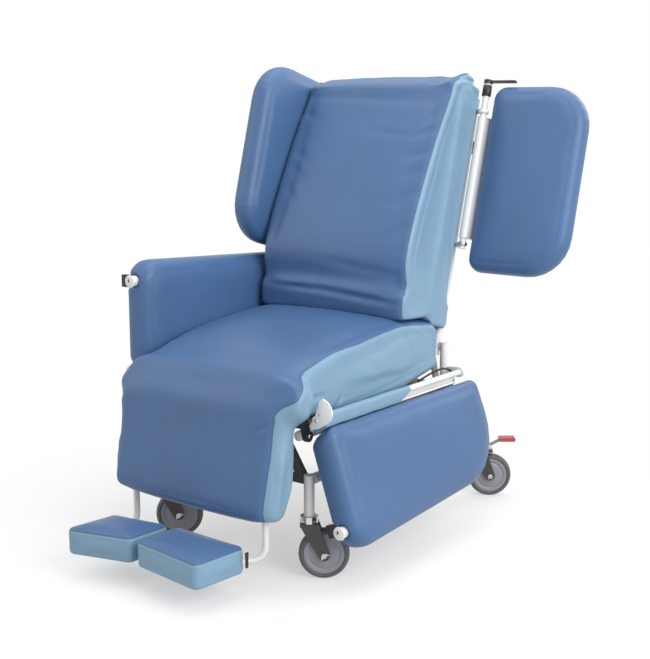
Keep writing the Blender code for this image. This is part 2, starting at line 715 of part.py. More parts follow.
def seat_frame():
    rail_end = RECLINE_PLACE - UPRIGHT_RADIUS - TOUCH
    pin_end = BACK_POST_TRACK - BACK_POST_RADIUS - LEVER_THICKNESS - 2 * TOUCH
    for side in (LEFT, RIGHT):
        tag = SIDE_NAME[side]
        rod("seat_rail_" + tag, 1, (side * SEAT_RAIL_TRACK, SEAT_RAIL_LEVEL), SEAT_RAIL_RADIUS,
            SEAT_RAIL_FRONT, rail_end, WHITE, ROOT)
        upright = rod("rear_upright_" + tag, 2, (side * STEM_HALF_TRACK, RECLINE_PLACE), UPRIGHT_RADIUS,
                      RAIL_TOP + TOUCH, RECLINE_LEVEL + UPRIGHT_TOP_MARGIN, WHITE, ROOT)
        pin = rod(upright.name + "_pin", 0, (RECLINE_PLACE, RECLINE_LEVEL), RECLINE_PIN_RADIUS,
                  *sorted((side * STEM_HALF_TRACK, side * pin_end)), WHITE, ROOT)
        lug = prism(upright.name + "_lug", hull([
            (side * STEM_HALF_TRACK, ARM_AXIS_LEVEL, UPRIGHT_RADIUS - MELD),
            (side * ARM_AXIS_TRACK, ARM_AXIS_LEVEL, ARM_LUG_EYE)]), 1,
            RECLINE_PLACE - ARM_LUG_THICKNESS / 2, RECLINE_PLACE + ARM_LUG_THICKNESS / 2, WHITE, ROOT)
        fuse(upright, pin, lug)
        cut(upright, rod(upright.name + "_bore", 1, (side * ARM_AXIS_TRACK, ARM_AXIS_LEVEL),
                         ARM_ROD_RADIUS + RUN, RECLINE_PLACE - UPRIGHT_RADIUS,
                         RECLINE_PLACE + UPRIGHT_RADIUS, WHITE, ROOT))
    box("seat_board", (-BOARD_HALF_WIDTH, BOARD_FRONT, BOARD_BOTTOM),
        (BOARD_HALF_WIDTH, BOARD_REAR, BOARD_BOTTOM + BOARD_THICKNESS), BOARD, ROOT)


def knee(angle, run):
    """Point at a run from the legrest axis, its angle taken from straight ahead upwards."""
    return (LEG_AXIS_PLACE - cos(angle) * run, LEG_AXIS_LEVEL + sin(angle) * run)


def fade_in(count, steps=6):
    """Shares of a crown that grow away from the fold at the knee."""
    return [min(1.0, k / steps) for k in range(count)]


def seat_cushion():
    clear = LEG_SLEEVE_RADIUS + SOFT_GAP
    front = LEG_WEB_OFFSET + LEG_WEB / 2 + SOFT_GAP
    below = 2 * pi - acos(-front / clear)
    steps = 6
    channel = [knee(below + (LEG_NOTCH_SEAT - below) * k / steps, clear) for k in range(steps + 1)]
    top = flow([knee(LEG_NOTCH_SEAT, LEG_NOTCH_SEAT_RUN), (SEAT_KNEE_PLACE, SEAT_KNEE_TOP),
                (SEAT_THIGH_PLACE, SEAT_THIGH_TOP), (SEAT_HIP_PLACE, SEAT_HIP_TOP),
                (SEAT_REAR - SEAT_EDGE, SEAT_REAR_TOP)])
    rest = [(SEAT_REAR, SEAT_REAR_TOP - SEAT_EDGE), (SEAT_REAR, SEAT_REAR_BOTTOM),
            (SEAT_LIFT_PLACE, SEAT_BOTTOM), (LEG_AXIS_PLACE + front, SEAT_BOTTOM)]
    outline = channel + top + rest
    soft = [0.0] * len(channel) + fade_in(len(top)) + [0.0] * len(rest)
    spine = [(LEG_AXIS_PLACE + SEAT_SPINE_INSET, (SEAT_BOTTOM + SEAT_KNEE_TOP) / 2),
             (SEAT_REAR - SEAT_SPINE_INSET, (SEAT_REAR_BOTTOM + SEAT_REAR_TOP) / 2)]
    return cushion("seat_cushion", outline, 0, -SEAT_HALF_WIDTH, SEAT_HALF_WIDTH, SEAT_EDGE, SEAT_CROWN,
                   SIDE_DRAW_IN, VINYL_DARK, ROOT, soft, spine)


# The leaning back: x across, y to the rear of the posts, z up along them
BACK = pivot("back_recline", (0.0, RECLINE_PLACE, RECLINE_LEVEL), ROOT, (-BACK_LEAN, 0.0, 0.0))
PANEL_REAR = BACK_POST_RADIUS + TOUCH
CUSHION_REAR = PANEL_REAR + BACK_PANEL_THICKNESS + TOUCH
LEVER_OUTER = BACK_POST_TRACK - BACK_POST_RADIUS - TOUCH
LEVER_INNER = LEVER_OUTER - LEVER_THICKNESS


def back_frame():
    for side in (LEFT, RIGHT):
        tag = SIDE_NAME[side]
        foot = Vector((side * BACK_POST_TRACK, 0.0, 0.0))
        hinge = Vector((side * WING_AXIS_TRACK, -WING_AXIS_FORWARD, 0.0))
        way = (hinge - foot).normalized()
        post = rod("back_post_" + tag, 2, foot.xy, BACK_POST_RADIUS, -BACK_POST_FOOT, BACK_POST_LENGTH, WHITE,
                   BACK)
        high = Vector((0.0, 0.0, WING_HIGH_ARM))
        fuse(post, tube(post.name + "_arm", [foot + high, hinge + high - way * (WING_POST_RADIUS + TOUCH)],
                        WING_ARM_RADIUS, WHITE, BACK, 12))
        cut(post, rod(post.name + "_bore", 0, (0.0, 0.0), RECLINE_PIN_RADIUS + RUN,
                      *sorted((side * (BACK_POST_TRACK - 2 * BACK_POST_RADIUS),
                               side * (BACK_POST_TRACK + 2 * BACK_POST_RADIUS))), WHITE, BACK))
        wing_post = rod("wing_post_" + tag, 2, hinge.xy, WING_POST_RADIUS, WING_POST_BOTTOM, WING_POST_TOP,
                        WHITE, BACK)
        low = Vector((0.0, 0.0, WING_LOW_ARM))
        joint = foot + low + way * (BACK_POST_RADIUS + TOUCH)
        fuse(wing_post, tube(wing_post.name + "_arm", [hinge + low, joint],
                             WING_ARM_RADIUS, WHITE, BACK, 12))
    box("back_panel", (-BACK_PANEL_HALF_WIDTH, -PANEL_REAR - BACK_PANEL_THICKNESS, BACK_PANEL_BOTTOM),
        (BACK_PANEL_HALF_WIDTH, -PANEL_REAR, BACK_PANEL_TOP), BOARD, BACK)
    start = BACK_POST_RADIUS + TOUCH
    tube("push_handle", bent([
        (-BACK_POST_TRACK, start, HANDLE_LEVEL), (-BACK_POST_TRACK, HANDLE_REACH, HANDLE_LEVEL),
        (BACK_POST_TRACK, HANDLE_REACH, HANDLE_LEVEL), (BACK_POST_TRACK, start, HANDLE_LEVEL)], HANDLE_BEND),
        HANDLE_RADIUS, BLACK, BACK)


def back_cushion():
    front = flow([(BACK_FOOT_FRONT, BACK_FOOT_BOTTOM), (BACK_LUMBAR_FRONT, BACK_LUMBAR_HEIGHT),
                  (BACK_CREASE_FRONT, BACK_CREASE_HEIGHT), (BACK_WAIST_FRONT, BACK_WAIST_HEIGHT),
                  (BACK_CHEST_FRONT, BACK_CHEST_HEIGHT), (BACK_SHOULDER_FRONT, BACK_SHOULDER_HEIGHT),
                  (BACK_NECK_FRONT, BACK_NECK_HEIGHT), (BACK_ROLL_FRONT, BACK_ROLL_HEIGHT),
                  (BACK_TOP_DEPTH, BACK_TOP)])
    rest = [(CUSHION_REAR + BACK_REAR_ROUND, BACK_TOP - BACK_REAR_ROUND / 4),
            (CUSHION_REAR, BACK_TOP - BACK_REAR_ROUND), (CUSHION_REAR, (BACK_TOP + BACK_HEEL_BOTTOM) / 2),
            (CUSHION_REAR, BACK_HEEL_BOTTOM + BACK_REAR_ROUND),
            (CUSHION_REAR + BACK_REAR_ROUND, BACK_HEEL_BOTTOM)]
    outline = [(-forward, height) for forward, height in front + rest]
    soft = [1.0] * len(front) + [0.0] * len(rest)
    spine = [(-(CUSHION_REAR + forward) / 2, height) for forward, height in (
        (BACK_FOOT_FRONT, BACK_CREASE_HEIGHT), (BACK_CHEST_FRONT, BACK_CHEST_HEIGHT),
        (BACK_NECK_FRONT, BACK_NECK_HEIGHT))]
    return cushion("back_cushion", outline, 0, -BACK_HALF_WIDTH, BACK_HALF_WIDTH, BACK_EDGE, BACK_CROWN,
                   BACK_DRAW_IN, VINYL_DARK, BACK, soft, spine)


def recline_spring():
    """Lever on the left back post, with the gas spring that it pushes under the seat."""
    axis = pivot("recline_lever_axis", (0.0, RECLINE_PLACE, RECLINE_LEVEL), ROOT)
    tip = (LEVER_LENGTH * sin(LEVER_LEAD), -LEVER_LENGTH * cos(LEVER_LEAD))
    lever = prism("recline_lever", hull([(0, 0, LEVER_HALF_WIDTH), (*tip, LEVER_HALF_WIDTH)]), 0,
                  LEVER_INNER, LEVER_OUTER, GREY, axis)
    eye_near = LEVER_INNER - RUN
    eye_far = eye_near - SPRING_EYE_THICKNESS
    fuse(lever, rod("recline_lever_pin", 0, tip, SPRING_PIN_RADIUS, eye_far, LEVER_INNER + MELD, GREY, axis))
    cut(lever, rod("recline_lever_bore", 0, (0, 0), RECLINE_PIN_RADIUS + RUN, LEVER_INNER - LEVER_THICKNESS,
                   LEVER_OUTER + LEVER_THICKNESS, GREY, axis))
    across = (eye_near + eye_far) / 2
    level = RECLINE_LEVEL - LEVER_LENGTH * (1 + cos(LEVER_LEAD)) / 2
    eye = (RECLINE_PLACE + tip[0], level)
    hole = SPRING_PIN_RADIUS + SPRING_PIN_PLAY
    spring_rod = rod("gas_spring_rod", 0, eye, hole + SPRING_EYE_WALL, eye_far, eye_near, STEEL, ROOT, 24)
    fuse(spring_rod, rod("gas_spring_rod_shaft", 1, (across, level), SPRING_ROD_RADIUS - MELD / 2,
                         SPRING_BODY_REAR - SPRING_ROD_INSIDE, eye[0] - hole - SPRING_EYE_WALL / 2, STEEL,
                         ROOT))
    cut(spring_rod, rod("gas_spring_rod_eye", 0, eye, hole, eye_far - hole, eye_near + hole, STEEL, ROOT, 24))
    body = rod("gas_spring_cylinder", 1, (across, level), SPRING_BODY_RADIUS, SPRING_BODY_FRONT,
               SPRING_BODY_REAR, BLACK, ROOT)
    half = SPRING_EYE_THICKNESS
    fuse(body, box("gas_spring_lug", (across - half, SPRING_BODY_FRONT + MELD, level),
                   (across + half, SPRING_BODY_FRONT + SPRING_LUG_LENGTH, BOARD_BOTTOM - TOUCH), BLACK, ROOT))
    cut(body, rod("gas_spring_bore", 1, (across, level), SPRING_ROD_RADIUS + RUN,
                  SPRING_BODY_REAR - SPRING_BORE_DEPTH, SPRING_BODY_REAR + SPRING_BODY_RADIUS, BLACK, ROOT))


def wings():
    """Side wings about their posts, drawn swung open; the right one is turned shut."""
    sleeve = WING_POST_RADIUS + RUN + WING_SLEEVE_WALL
    fin_back = WING_EDGE - WING_FRONT + WING_FIN
    for side in (LEFT, RIGHT):
        tag = SIDE_NAME[side]
        place = (side * WING_AXIS_TRACK, -WING_AXIS_FORWARD, 0.0)
        turn = 0.0 if side == LEFT else WING_OPEN
        hinge = pivot("wing_hinge_axis_" + tag, place, BACK, (0.0, 0.0, turn))
        outer = WING_INNER + WING_WIDTH
        outline = [(side * x, z) for x, z in rounded([
            (WING_INNER, WING_BOTTOM, WING_INNER_CORNER), (outer, WING_BOTTOM, WING_OUTER_CORNER),
            (outer, WING_TOP, WING_OUTER_CORNER), (WING_INNER, WING_TOP, WING_INNER_CORNER)], 7)]
        cushion("wing_pad_" + tag, outline, 1, -WING_FRONT, WING_THICKNESS - WING_FRONT, WING_EDGE, 0.0,
                -WING_CROWN, VINYL_DARK, hinge, None, None, (0.5,), 4)
        strap = prism("wing_hinge_" + tag, hull([
            (0.0, 0.0, sleeve), (side * (WING_INNER - TOUCH - WING_FIN / 2), fin_back, WING_FIN / 2)]), 2,
            WING_SLEEVE_BOTTOM, WING_SLEEVE_TOP, WHITE, hinge)
        cut(strap, rod(strap.name + "_bore", 2, (0, 0), WING_POST_RADIUS + RUN, WING_SLEEVE_BOTTOM - sleeve,
                       WING_SLEEVE_TOP + sleeve, WHITE, hinge))
        top = pivot("wing_lever_axis_" + tag, (place[0], place[1], WING_POST_TOP + TOUCH), BACK)
        cap = rod("wing_lever_" + tag, 2, (0, 0), LEVER_CAP_RADIUS, 0.0, LEVER_CAP_HEIGHT, BLACK, top)
        low = (LEVER_CAP_HEIGHT - LEVER_ARM_THICKNESS) / 2
        reach = sorted((0.0, side * LEVER_ARM_LENGTH))
        fuse(cap, box(cap.name + "_arm", (reach[0], -LEVER_ARM_WIDTH / 2, low),
                      (reach[1], LEVER_ARM_WIDTH / 2, low + LEVER_ARM_THICKNESS), BLACK, top))


def arm_pad(name, side, hinge):
    low = ARM_BOTTOM - ARM_AXIS_LEVEL
    near = ARM_INNER - ARM_AXIS_TRACK
    outline = rounded([
        (ARM_FRONT, low, ARM_LOW_CORNER), (ARM_FRONT, ARM_FRONT_TOP - ARM_AXIS_LEVEL, ARM_FRONT_CORNER),
        (ARM_REAR, ARM_REAR_TOP - ARM_AXIS_LEVEL, ARM_REAR_CORNER),
        (ARM_REAR - ARM_HEEL_INSET, low, ARM_LOW_CORNER)], 6)
    ends = sorted((side * near, side * (near + ARM_THICKNESS)))
    pad = cushion(name, outline, 0, *ends, ARM_EDGE, 0.0, -ARM_CROWN, VINYL_DARK, hinge, None, None, (0.5,),
                  4)
    for vertex in pad.data.vertices:
        share = (side * vertex.co.x - near) / ARM_THICKNESS
        fade = max(0.0, 1 - (vertex.co.z - low) / (4 * ARM_EDGE))
        vertex.co.z += ARM_UNDERSIDE_RISE * share * fade
    return pad


def arms():
    slant = atan2(ARM_UNDERSIDE_RISE, ARM_THICKNESS)
    near = ARM_INNER - ARM_AXIS_TRACK
    face = (ARM_BOTTOM - ARM_AXIS_LEVEL - near * tan(slant)) * cos(slant) - TOUCH
    along = (near + ARM_THICKNESS / 2) / cos(slant) + face * tan(slant)
    plate_rear = ARM_FRONT - ARM_PLATE_GAP
    plate_front = plate_rear - ARM_PLATE_THICKNESS
    for side in (LEFT, RIGHT):
        tag = SIDE_NAME[side]
        turn = ARM_DROP if side == LEFT else 0.0
        place = (side * ARM_AXIS_TRACK, 0.0, ARM_AXIS_LEVEL)
        hinge = pivot("arm_hinge_axis_" + tag, place, ROOT, (0.0, turn, 0.0))
        pad = arm_pad("arm_pad_" + tag, side, hinge)

        def tilted(a, b):
            return (side * (a * cos(slant) - b * sin(slant)), a * sin(slant) + b * cos(slant))
        frame = rod("arm_frame_" + tag, 1, (0, 0), ARM_ROD_RADIUS, plate_front - RUN,
                    RECLINE_PLACE + ARM_LUG_THICKNESS / 2 + RUN, WHITE, hinge)
        half = ARM_FLANGE_WIDTH / 2
        flange = prism(frame.name + "_flange", [
            tilted(along - half, face - ARM_FLANGE_THICKNESS),
            tilted(along + half, face - ARM_FLANGE_THICKNESS),
            tilted(along + half, face), tilted(along - half, face)], 1, ARM_FLANGE_FRONT, ARM_FLANGE_REAR,
            WHITE, hinge)
        web = prism(frame.name + "_web", hull([
            (0, 0, ARM_WEB / 2), (*tilted(along, face - ARM_WEB / 2 - MELD), ARM_WEB / 2)]), 1,
            ARM_FLANGE_FRONT + MELD, ARM_FLANGE_REAR - MELD, WHITE, hinge)
        fuse(frame, flange, web)

        spot = (side * (ARM_INNER + BUTTON_OUT - ARM_AXIS_TRACK), BUTTON_LEVEL - ARM_AXIS_LEVEL)
        cut(pad, rod(pad.name + "_bore", 1, spot, BUTTON_RADIUS + RUN, ARM_FRONT - BUTTON_RADIUS,
                     ARM_FRONT + BUTTON_DEPTH + BUTTON_TRAVEL + RUN, VINYL_DARK, hinge))
        face_at = ARM_FRONT - BUTTON_PROUD
        button_axis = pivot("arm_button_axis_" + tag, (spot[0], face_at, spot[1]), hinge)
        button = rod("arm_button_" + tag, 1, (0, 0), BUTTON_RADIUS, 0.0, BUTTON_PROUD + BUTTON_DEPTH, WHITE,
                     button_axis)
        cut(button, box(button.name + "_slot", (-SLOT_WIDTH / 2, -SLOT_DEPTH, -SLOT_HEIGHT / 2),
                        (SLOT_WIDTH / 2, SLOT_DEPTH, SLOT_HEIGHT / 2), WHITE, button_axis))

        outer = near + ARM_THICKNESS
        reach = sorted((side * (outer - CATCH_SUNK), side * (outer + CATCH_PROUD)))
        low = (reach[0], ARM_FRONT + CATCH_SETBACK, CATCH_LEVEL - ARM_AXIS_LEVEL)
        high = (reach[1], low[1] + CATCH_DEPTH, low[2] + CATCH_HEIGHT)
        box("arm_catch_" + tag, low, high, BLACK, hinge)
        cut(pad, box(pad.name + "_pocket", [v - TOUCH for v in low], [v + TOUCH for v in high], VINYL_DARK,
                     hinge))

        bush_face = SEAT_HALF_WIDTH + BRACKET_GAP + BRACKET_THICKNESS + BRACKET_BUSH_LENGTH
        foot = bush_face + TOUCH + ARM_PLATE_TOP_EYE
        plate = prism("arm_plate_" + tag, hull([
            (side * foot, SEAT_RAIL_LEVEL, ARM_PLATE_TOP_EYE),
            (side * ARM_AXIS_TRACK, ARM_AXIS_LEVEL, ARM_PLATE_EYE),
            (side * (ARM_AXIS_TRACK + ARM_PLATE_TOP_OUT), ARM_AXIS_LEVEL + ARM_PLATE_TOP_LIFT,
             ARM_PLATE_TOP_EYE)]), 1,
            plate_front, plate_rear, WHITE, ROOT)
        cut(plate, rod(plate.name + "_bore", 1, (side * ARM_AXIS_TRACK, ARM_AXIS_LEVEL), ARM_ROD_RADIUS + RUN,
                       plate_front - ARM_ROD_RADIUS, plate_rear + ARM_ROD_RADIUS, WHITE, ROOT))


# The legrest keeps the chair's own coordinates under its axis
LEG = pivot("legrest_axis", (0.0, LEG_AXIS_PLACE, LEG_AXIS_LEVEL), ROOT)
LEG_SPACE = pivot("legrest_space", (0.0, -LEG_AXIS_PLACE, -LEG_AXIS_LEVEL), LEG)


def legrest():
    middle = LEG_AXIS_PLACE + LEG_WEB_OFFSET
    half = LEG_WEB / 2
    board = prism("legrest_board", [
        (middle - half, LEG_AXIS_LEVEL), (middle + half, LEG_AXIS_LEVEL), (middle + half, LEG_BEND_LEVEL),
        (LEG_BOARD_TOE + half, LEG_BOARD_BOTTOM), (LEG_BOARD_TOE - half, LEG_BOARD_BOTTOM),
        (middle - half, LEG_BEND_LEVEL)], 0, -LEG_BOARD_HALF_WIDTH, LEG_BOARD_HALF_WIDTH, BOARD, LEG_SPACE)
    axis = (LEG_AXIS_PLACE, LEG_AXIS_LEVEL)
    fuse(board, rod("legrest_sleeve", 0, axis, LEG_SLEEVE_RADIUS, -LEG_BOARD_HALF_WIDTH + MELD,
                    LEG_BOARD_HALF_WIDTH - MELD, BOARD, LEG_SPACE))
    cut(board, rod("legrest_bore", 0, axis, LEG_PIN_RADIUS + RUN, -2 * LEG_BOARD_HALF_WIDTH,
                   2 * LEG_BOARD_HALF_WIDTH, BOARD, LEG_SPACE))

    clear = LEG_SLEEVE_RADIUS + SOFT_GAP
    behind = half - LEG_WEB_OFFSET + TOUCH
    below = -acos(behind / clear)
    steps = 6
    channel = [knee(below + (LEG_NOTCH_LEG - below) * k / steps, clear) for k in range(steps + 1)]
    front = flow([knee(LEG_NOTCH_LEG, LEG_NOTCH_LEG_RUN), (LEG_SHIN_PLACE, LEG_SHIN_LEVEL),
                  (LEG_CALF_PLACE, LEG_CALF_LEVEL), (LEG_ANKLE_PLACE, LEG_ANKLE_LEVEL),
                  (LEG_TOE_PLACE, LEG_TOE_LEVEL), (LEG_BOTTOM_FRONT, LEG_BOTTOM)])
    sole = (LEG_BOARD_TOE - half - TOUCH, LEG_BOARD_BOTTOM)
    bend = (LEG_AXIS_PLACE - behind, LEG_BEND_LEVEL)
    rest = [(LEG_BOTTOM_REAR, LEG_BOTTOM), sole, ((sole[0] + bend[0]) / 2, (sole[1] + bend[1]) / 2), bend]
    soft = [0.0] * len(channel) + fade_in(len(front)) + [0.0] * len(rest)
    spine = [((LEG_SHIN_PLACE + LEG_AXIS_PLACE) / 2, (LEG_SHIN_LEVEL + LEG_AXIS_LEVEL) / 2),
             ((LEG_CALF_PLACE + LEG_AXIS_PLACE) / 2, LEG_CALF_LEVEL),
             ((LEG_ANKLE_PLACE + LEG_BOARD_TOE) / 2, LEG_ANKLE_LEVEL),
             ((LEG_BOTTOM_FRONT + LEG_BOTTOM_REAR) / 2, LEG_TOE_LEVEL)]
    pad = cushion("legrest_cushion", channel + front + rest, 0, -SEAT_HALF_WIDTH, SEAT_HALF_WIDTH, LEG_EDGE,
                  LEG_CROWN, SIDE_DRAW_IN, VINYL_DARK, LEG_SPACE, soft, spine)
    for side in (LEFT, RIGHT):
        tag = SIDE_NAME[side]
        cut(pad, rod("legrest_socket_" + tag, 2, (side * HANGER_TRACK, HANGER_PLACE), HANGER_RADIUS + RUN,
                     LEG_BOTTOM - LEG_EDGE, HANGER_TOP + RUN, VINYL_DARK, LEG_SPACE))
        legrest_bracket(side)


def legrest_bracket(side):
    name = "legrest_bracket_" + SIDE_NAME[side]
    near = SEAT_HALF_WIDTH + BRACKET_GAP
    far = near + BRACKET_THICKNESS
    bolt = (BRACKET_BOLT_PLACE, SEAT_RAIL_LEVEL)
    axis = (LEG_AXIS_PLACE, LEG_AXIS_LEVEL)
    plate = prism(name, hull([(*bolt, BRACKET_BUSH_RADIUS), (*axis, BRACKET_HINGE_EYE)]), 0,
                  *sorted((side * near, side * far)), BLACK, ROOT)
    bush = rod(name + "_bush", 0, bolt, BRACKET_BUSH_RADIUS - MELD,
               *sorted((side * (far - MELD), side * (far + BRACKET_BUSH_LENGTH))), BLACK, ROOT)
    pin = rod(name + "_pin", 0, axis, LEG_PIN_RADIUS,
              *sorted((side * (near + MELD), side * (LEG_BOARD_HALF_WIDTH - LEG_PIN_LENGTH))), BLACK, ROOT)
    return fuse(plate, bush, pin)


def foot_pads():
    shapes = {LEFT: (PAD_HINGE_INSET_LEFT, PAD_LEFT_OUTER_REAR, PAD_LEFT_INNER_REAR, PAD_LEFT_INNER_FRONT,
                     PAD_LEFT_OUTER_FRONT),
              RIGHT: (PAD_HINGE_INSET_RIGHT, PAD_RIGHT_OUTER_REAR, PAD_RIGHT_INNER_REAR,
                      PAD_RIGHT_INNER_FRONT, PAD_RIGHT_OUTER_FRONT)}
    for side, (inset, outer_rear, inner_rear, inner_front, outer_front) in shapes.items():
        tag = SIDE_NAME[side]
        track = HANGER_TRACK - inset
        corners = [(side * (track + outer_rear[0]), outer_rear[1]), (side * inner_rear[0], inner_rear[1]),
                   (side * inner_front[0], inner_front[1]), (side * (track + outer_front[0]), outer_front[1])]
        (ox, oy), (ix, iy) = corners[:2]
        rear = oy + (iy - oy) * (side * track - ox) / (ix - ox)
        hinge = pivot("foot_pad_axis_" + tag, (side * track, rear, HANGER_LOW), LEG_SPACE)
        tube("foot_hanger_" + tag, bent([
            (side * HANGER_TRACK, HANGER_PLACE, HANGER_TOP), (side * HANGER_TRACK, HANGER_PLACE, HANGER_LOW),
            (side * track, rear + 2 * HANGER_RADIUS, HANGER_LOW),
            (side * track, rear - HANGER_TAIL, HANGER_LOW)],
            HANGER_BEND), HANGER_RADIUS, WHITE, LEG_SPACE, 14)
        outline = rounded([(x - side * track, y - rear, PAD_CORNER) for x, y in corners], 4)
        low = PAD_BOTTOM - HANGER_LOW
        pad = cushion("foot_pad_" + tag, outline, 2, low, low + PAD_THICKNESS, PAD_EDGE, 0.0, -PAD_CROWN,
                      VINYL_LIGHT, hinge, None, None, (0.5,), 3)
        cut(pad, rod(pad.name + "_bore", 1, (0, 0), HANGER_RADIUS + RUN, -HANGER_TAIL - RUN,
                     2 * HANGER_RADIUS, VINYL_LIGHT, hinge))


def stand_on_floor():
    """Moves the whole chair so that the middle of its box, at floor level, is the origin."""
    bpy.context.view_layer.update()
    shapes = bpy.context.evaluated_depsgraph_get()
    corners = []
    for obj in bpy.context.collection.objects:
        if obj.type == "MESH" and not obj.hide_render:
            final = obj.evaluated_get(shapes)
            corners += [final.matrix_world @ v.co for v in final.data.vertices]
    low = Vector([min(c[i] for c in corners) for i in range(3)])
    high = Vector([max(c[i] for c in corners) for i in range(3)])
    ROOT.location = (-(low.x + high.x) / 2, -(low.y + high.y) / 2, -low.z)


castors()
base_frame()
seat_frame()
seat_cushion()
back_frame()
back_cushion()
recline_spring()
wings()
arms()
legrest()
foot_pads()
stand_on_floor()
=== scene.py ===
"""Looks of a padded care chair on castors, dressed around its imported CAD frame."""
import json
from math import cos, pi, radians, sin

import bmesh
import bpy
import numpy as np
from mathutils import Matrix, Vector
from mathutils.bvhtree import BVHTree
from mathutils.geometry import convex_hull_2d


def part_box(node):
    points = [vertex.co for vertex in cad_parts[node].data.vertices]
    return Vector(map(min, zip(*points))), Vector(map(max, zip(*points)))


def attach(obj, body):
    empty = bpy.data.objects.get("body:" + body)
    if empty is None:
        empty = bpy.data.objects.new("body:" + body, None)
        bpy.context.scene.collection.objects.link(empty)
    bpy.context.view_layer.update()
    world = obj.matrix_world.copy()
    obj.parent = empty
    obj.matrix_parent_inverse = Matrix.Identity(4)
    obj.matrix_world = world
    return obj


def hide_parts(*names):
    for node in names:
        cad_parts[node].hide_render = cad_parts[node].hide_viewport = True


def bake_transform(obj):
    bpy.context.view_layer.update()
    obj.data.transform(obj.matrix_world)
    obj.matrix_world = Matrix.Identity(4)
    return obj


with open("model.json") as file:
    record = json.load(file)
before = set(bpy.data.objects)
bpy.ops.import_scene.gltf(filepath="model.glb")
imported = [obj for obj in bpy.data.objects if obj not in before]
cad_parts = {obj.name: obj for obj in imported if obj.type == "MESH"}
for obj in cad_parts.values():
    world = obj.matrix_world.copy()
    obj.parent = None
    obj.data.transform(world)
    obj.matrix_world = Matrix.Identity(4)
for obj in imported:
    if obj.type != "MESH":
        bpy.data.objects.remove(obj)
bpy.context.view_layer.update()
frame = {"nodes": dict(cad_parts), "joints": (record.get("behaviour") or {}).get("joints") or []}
NODES = frame["nodes"]
JOINTS = {j["name"]: j for j in frame["joints"]}
SCENE = bpy.context.scene
COLLECTION = SCENE.collection

# The chair's own coordinates have y = 0 midway between the castor stems; SHIFT takes them to the row frame
RECLINE = Vector(JOINTS["back_recline"]["pos_m"])
RECLINE_IN_CHAIR = Vector((0.0, 0.203, 0.470))
SHIFT = RECLINE - RECLINE_IN_CHAIR
KNEE = Vector(JOINTS["legrest_elevate"]["pos_m"])
BACK_LEAN = radians(15.5)
BACK_TURN = Matrix.Rotation(-BACK_LEAN, 3, "X")
SIDES = {"left": 1, "right": -1}

# Camera at the photograph's angle
camera = bpy.data.objects.new("camera", bpy.data.cameras.new("camera"))
COLLECTION.objects.link(camera)
camera.data.sensor_fit = "VERTICAL"
camera.data.sensor_height = 36.0
camera.data.lens = 66.02
camera.data.clip_end = 50.0
camera.location = Vector((1.96155, -2.5905, 1.12985)) + SHIFT
camera.rotation_euler = (radians(79.48), 0.0, radians(37.35))
SCENE.camera = camera
SCENE.view_settings.view_transform = "Standard"


# Materials
def new_material(name):
    mat = bpy.data.materials.new(name)
    mat.use_nodes = True
    return mat, mat.node_tree.nodes, mat.node_tree.links, mat.node_tree.nodes["Principled BSDF"]


def noise(nodes, links, coords, scale, detail=3.0, rough=0.5):
    tex = nodes.new("ShaderNodeTexNoise")
    tex.inputs["Scale"].default_value = scale
    tex.inputs["Detail"].default_value = detail
    tex.inputs["Roughness"].default_value = rough
    links.new(coords, tex.inputs["Vector"])
    return tex.outputs["Fac"]


def ramp(nodes, links, source, stops):
    node = nodes.new("ShaderNodeValToRGB")
    for point, (place, colour) in zip(node.color_ramp.elements, stops):
        point.position = place
        point.color = (*colour, 1.0)
    links.new(source, node.inputs["Fac"])
    return node.outputs["Color"]


def span(nodes, links, source, low, high, out_low=0.0, out_high=1.0):
    node = nodes.new("ShaderNodeMapRange")
    node.inputs["From Min"].default_value = low
    node.inputs["From Max"].default_value = high
    node.inputs["To Min"].default_value = out_low
    node.inputs["To Max"].default_value = out_high
    links.new(source, node.inputs["Value"])
    return node.outputs["Result"]


def mixed(nodes, links, factor, one, two, mode="MIX"):
    node = nodes.new("ShaderNodeMix")
    node.data_type = "RGBA"
    node.blend_type = mode
    for socket, value in (("Factor", factor), ("A", one), ("B", two)):
        entry = [i for i in node.inputs if i.name == socket and i.enabled][0]
        if hasattr(value, "is_linked"):
            links.new(value, entry)
        elif isinstance(value, (int, float)):
            entry.default_value = value
        else:
            entry.default_value = (*value, 1.0)
    return [o for o in node.outputs if o.enabled][0]


def bumped(nodes, links, shader, height, strength, distance, base=None):
    node = nodes.new("ShaderNodeBump")
    node.inputs["Strength"].default_value = strength
    node.inputs["Distance"].default_value = distance
    links.new(height, node.inputs["Height"])
    if base:
        links.new(base, node.inputs["Normal"])
    links.new(node.outputs["Normal"], shader.inputs["Normal"])
    return node.outputs["Normal"]


def shade(colour, factor):
    return tuple(min(1.0, c * factor) for c in colour)


BLOTCH_SCALE = 9.0
GRAIN_DEPTH = 0.0004


def finish_material(name, colour, rough, metallic=0.0, grain=600.0, bump=0.08, vary=0.08, spread=0.08):
    """Painted, moulded or metal surface: soft blotches of colour, uneven gloss and a fine grain."""
    mat, nodes, links, shader = new_material(name)
    coords = nodes.new("ShaderNodeTexCoord").outputs["Object"]
    broad = noise(nodes, links, coords, BLOTCH_SCALE, 4.0)
    fine = noise(nodes, links, coords, grain, 2.0)
    tint = ramp(nodes, links, broad, [(0.3, shade(colour, 1 - vary)), (0.7, shade(colour, 1 + vary))])
    links.new(tint, shader.inputs["Base Color"])
    gloss = span(nodes, links, broad, 0.3, 0.7, rough - spread, rough + spread)
    links.new(gloss, shader.inputs["Roughness"])
    shader.inputs["Metallic"].default_value = metallic
    bumped(nodes, links, shader, fine, bump, GRAIN_DEPTH)
    return mat


DARK_BLUE = (0.065, 0.140, 0.294)
LIGHT_BLUE = (0.208, 0.350, 0.480)
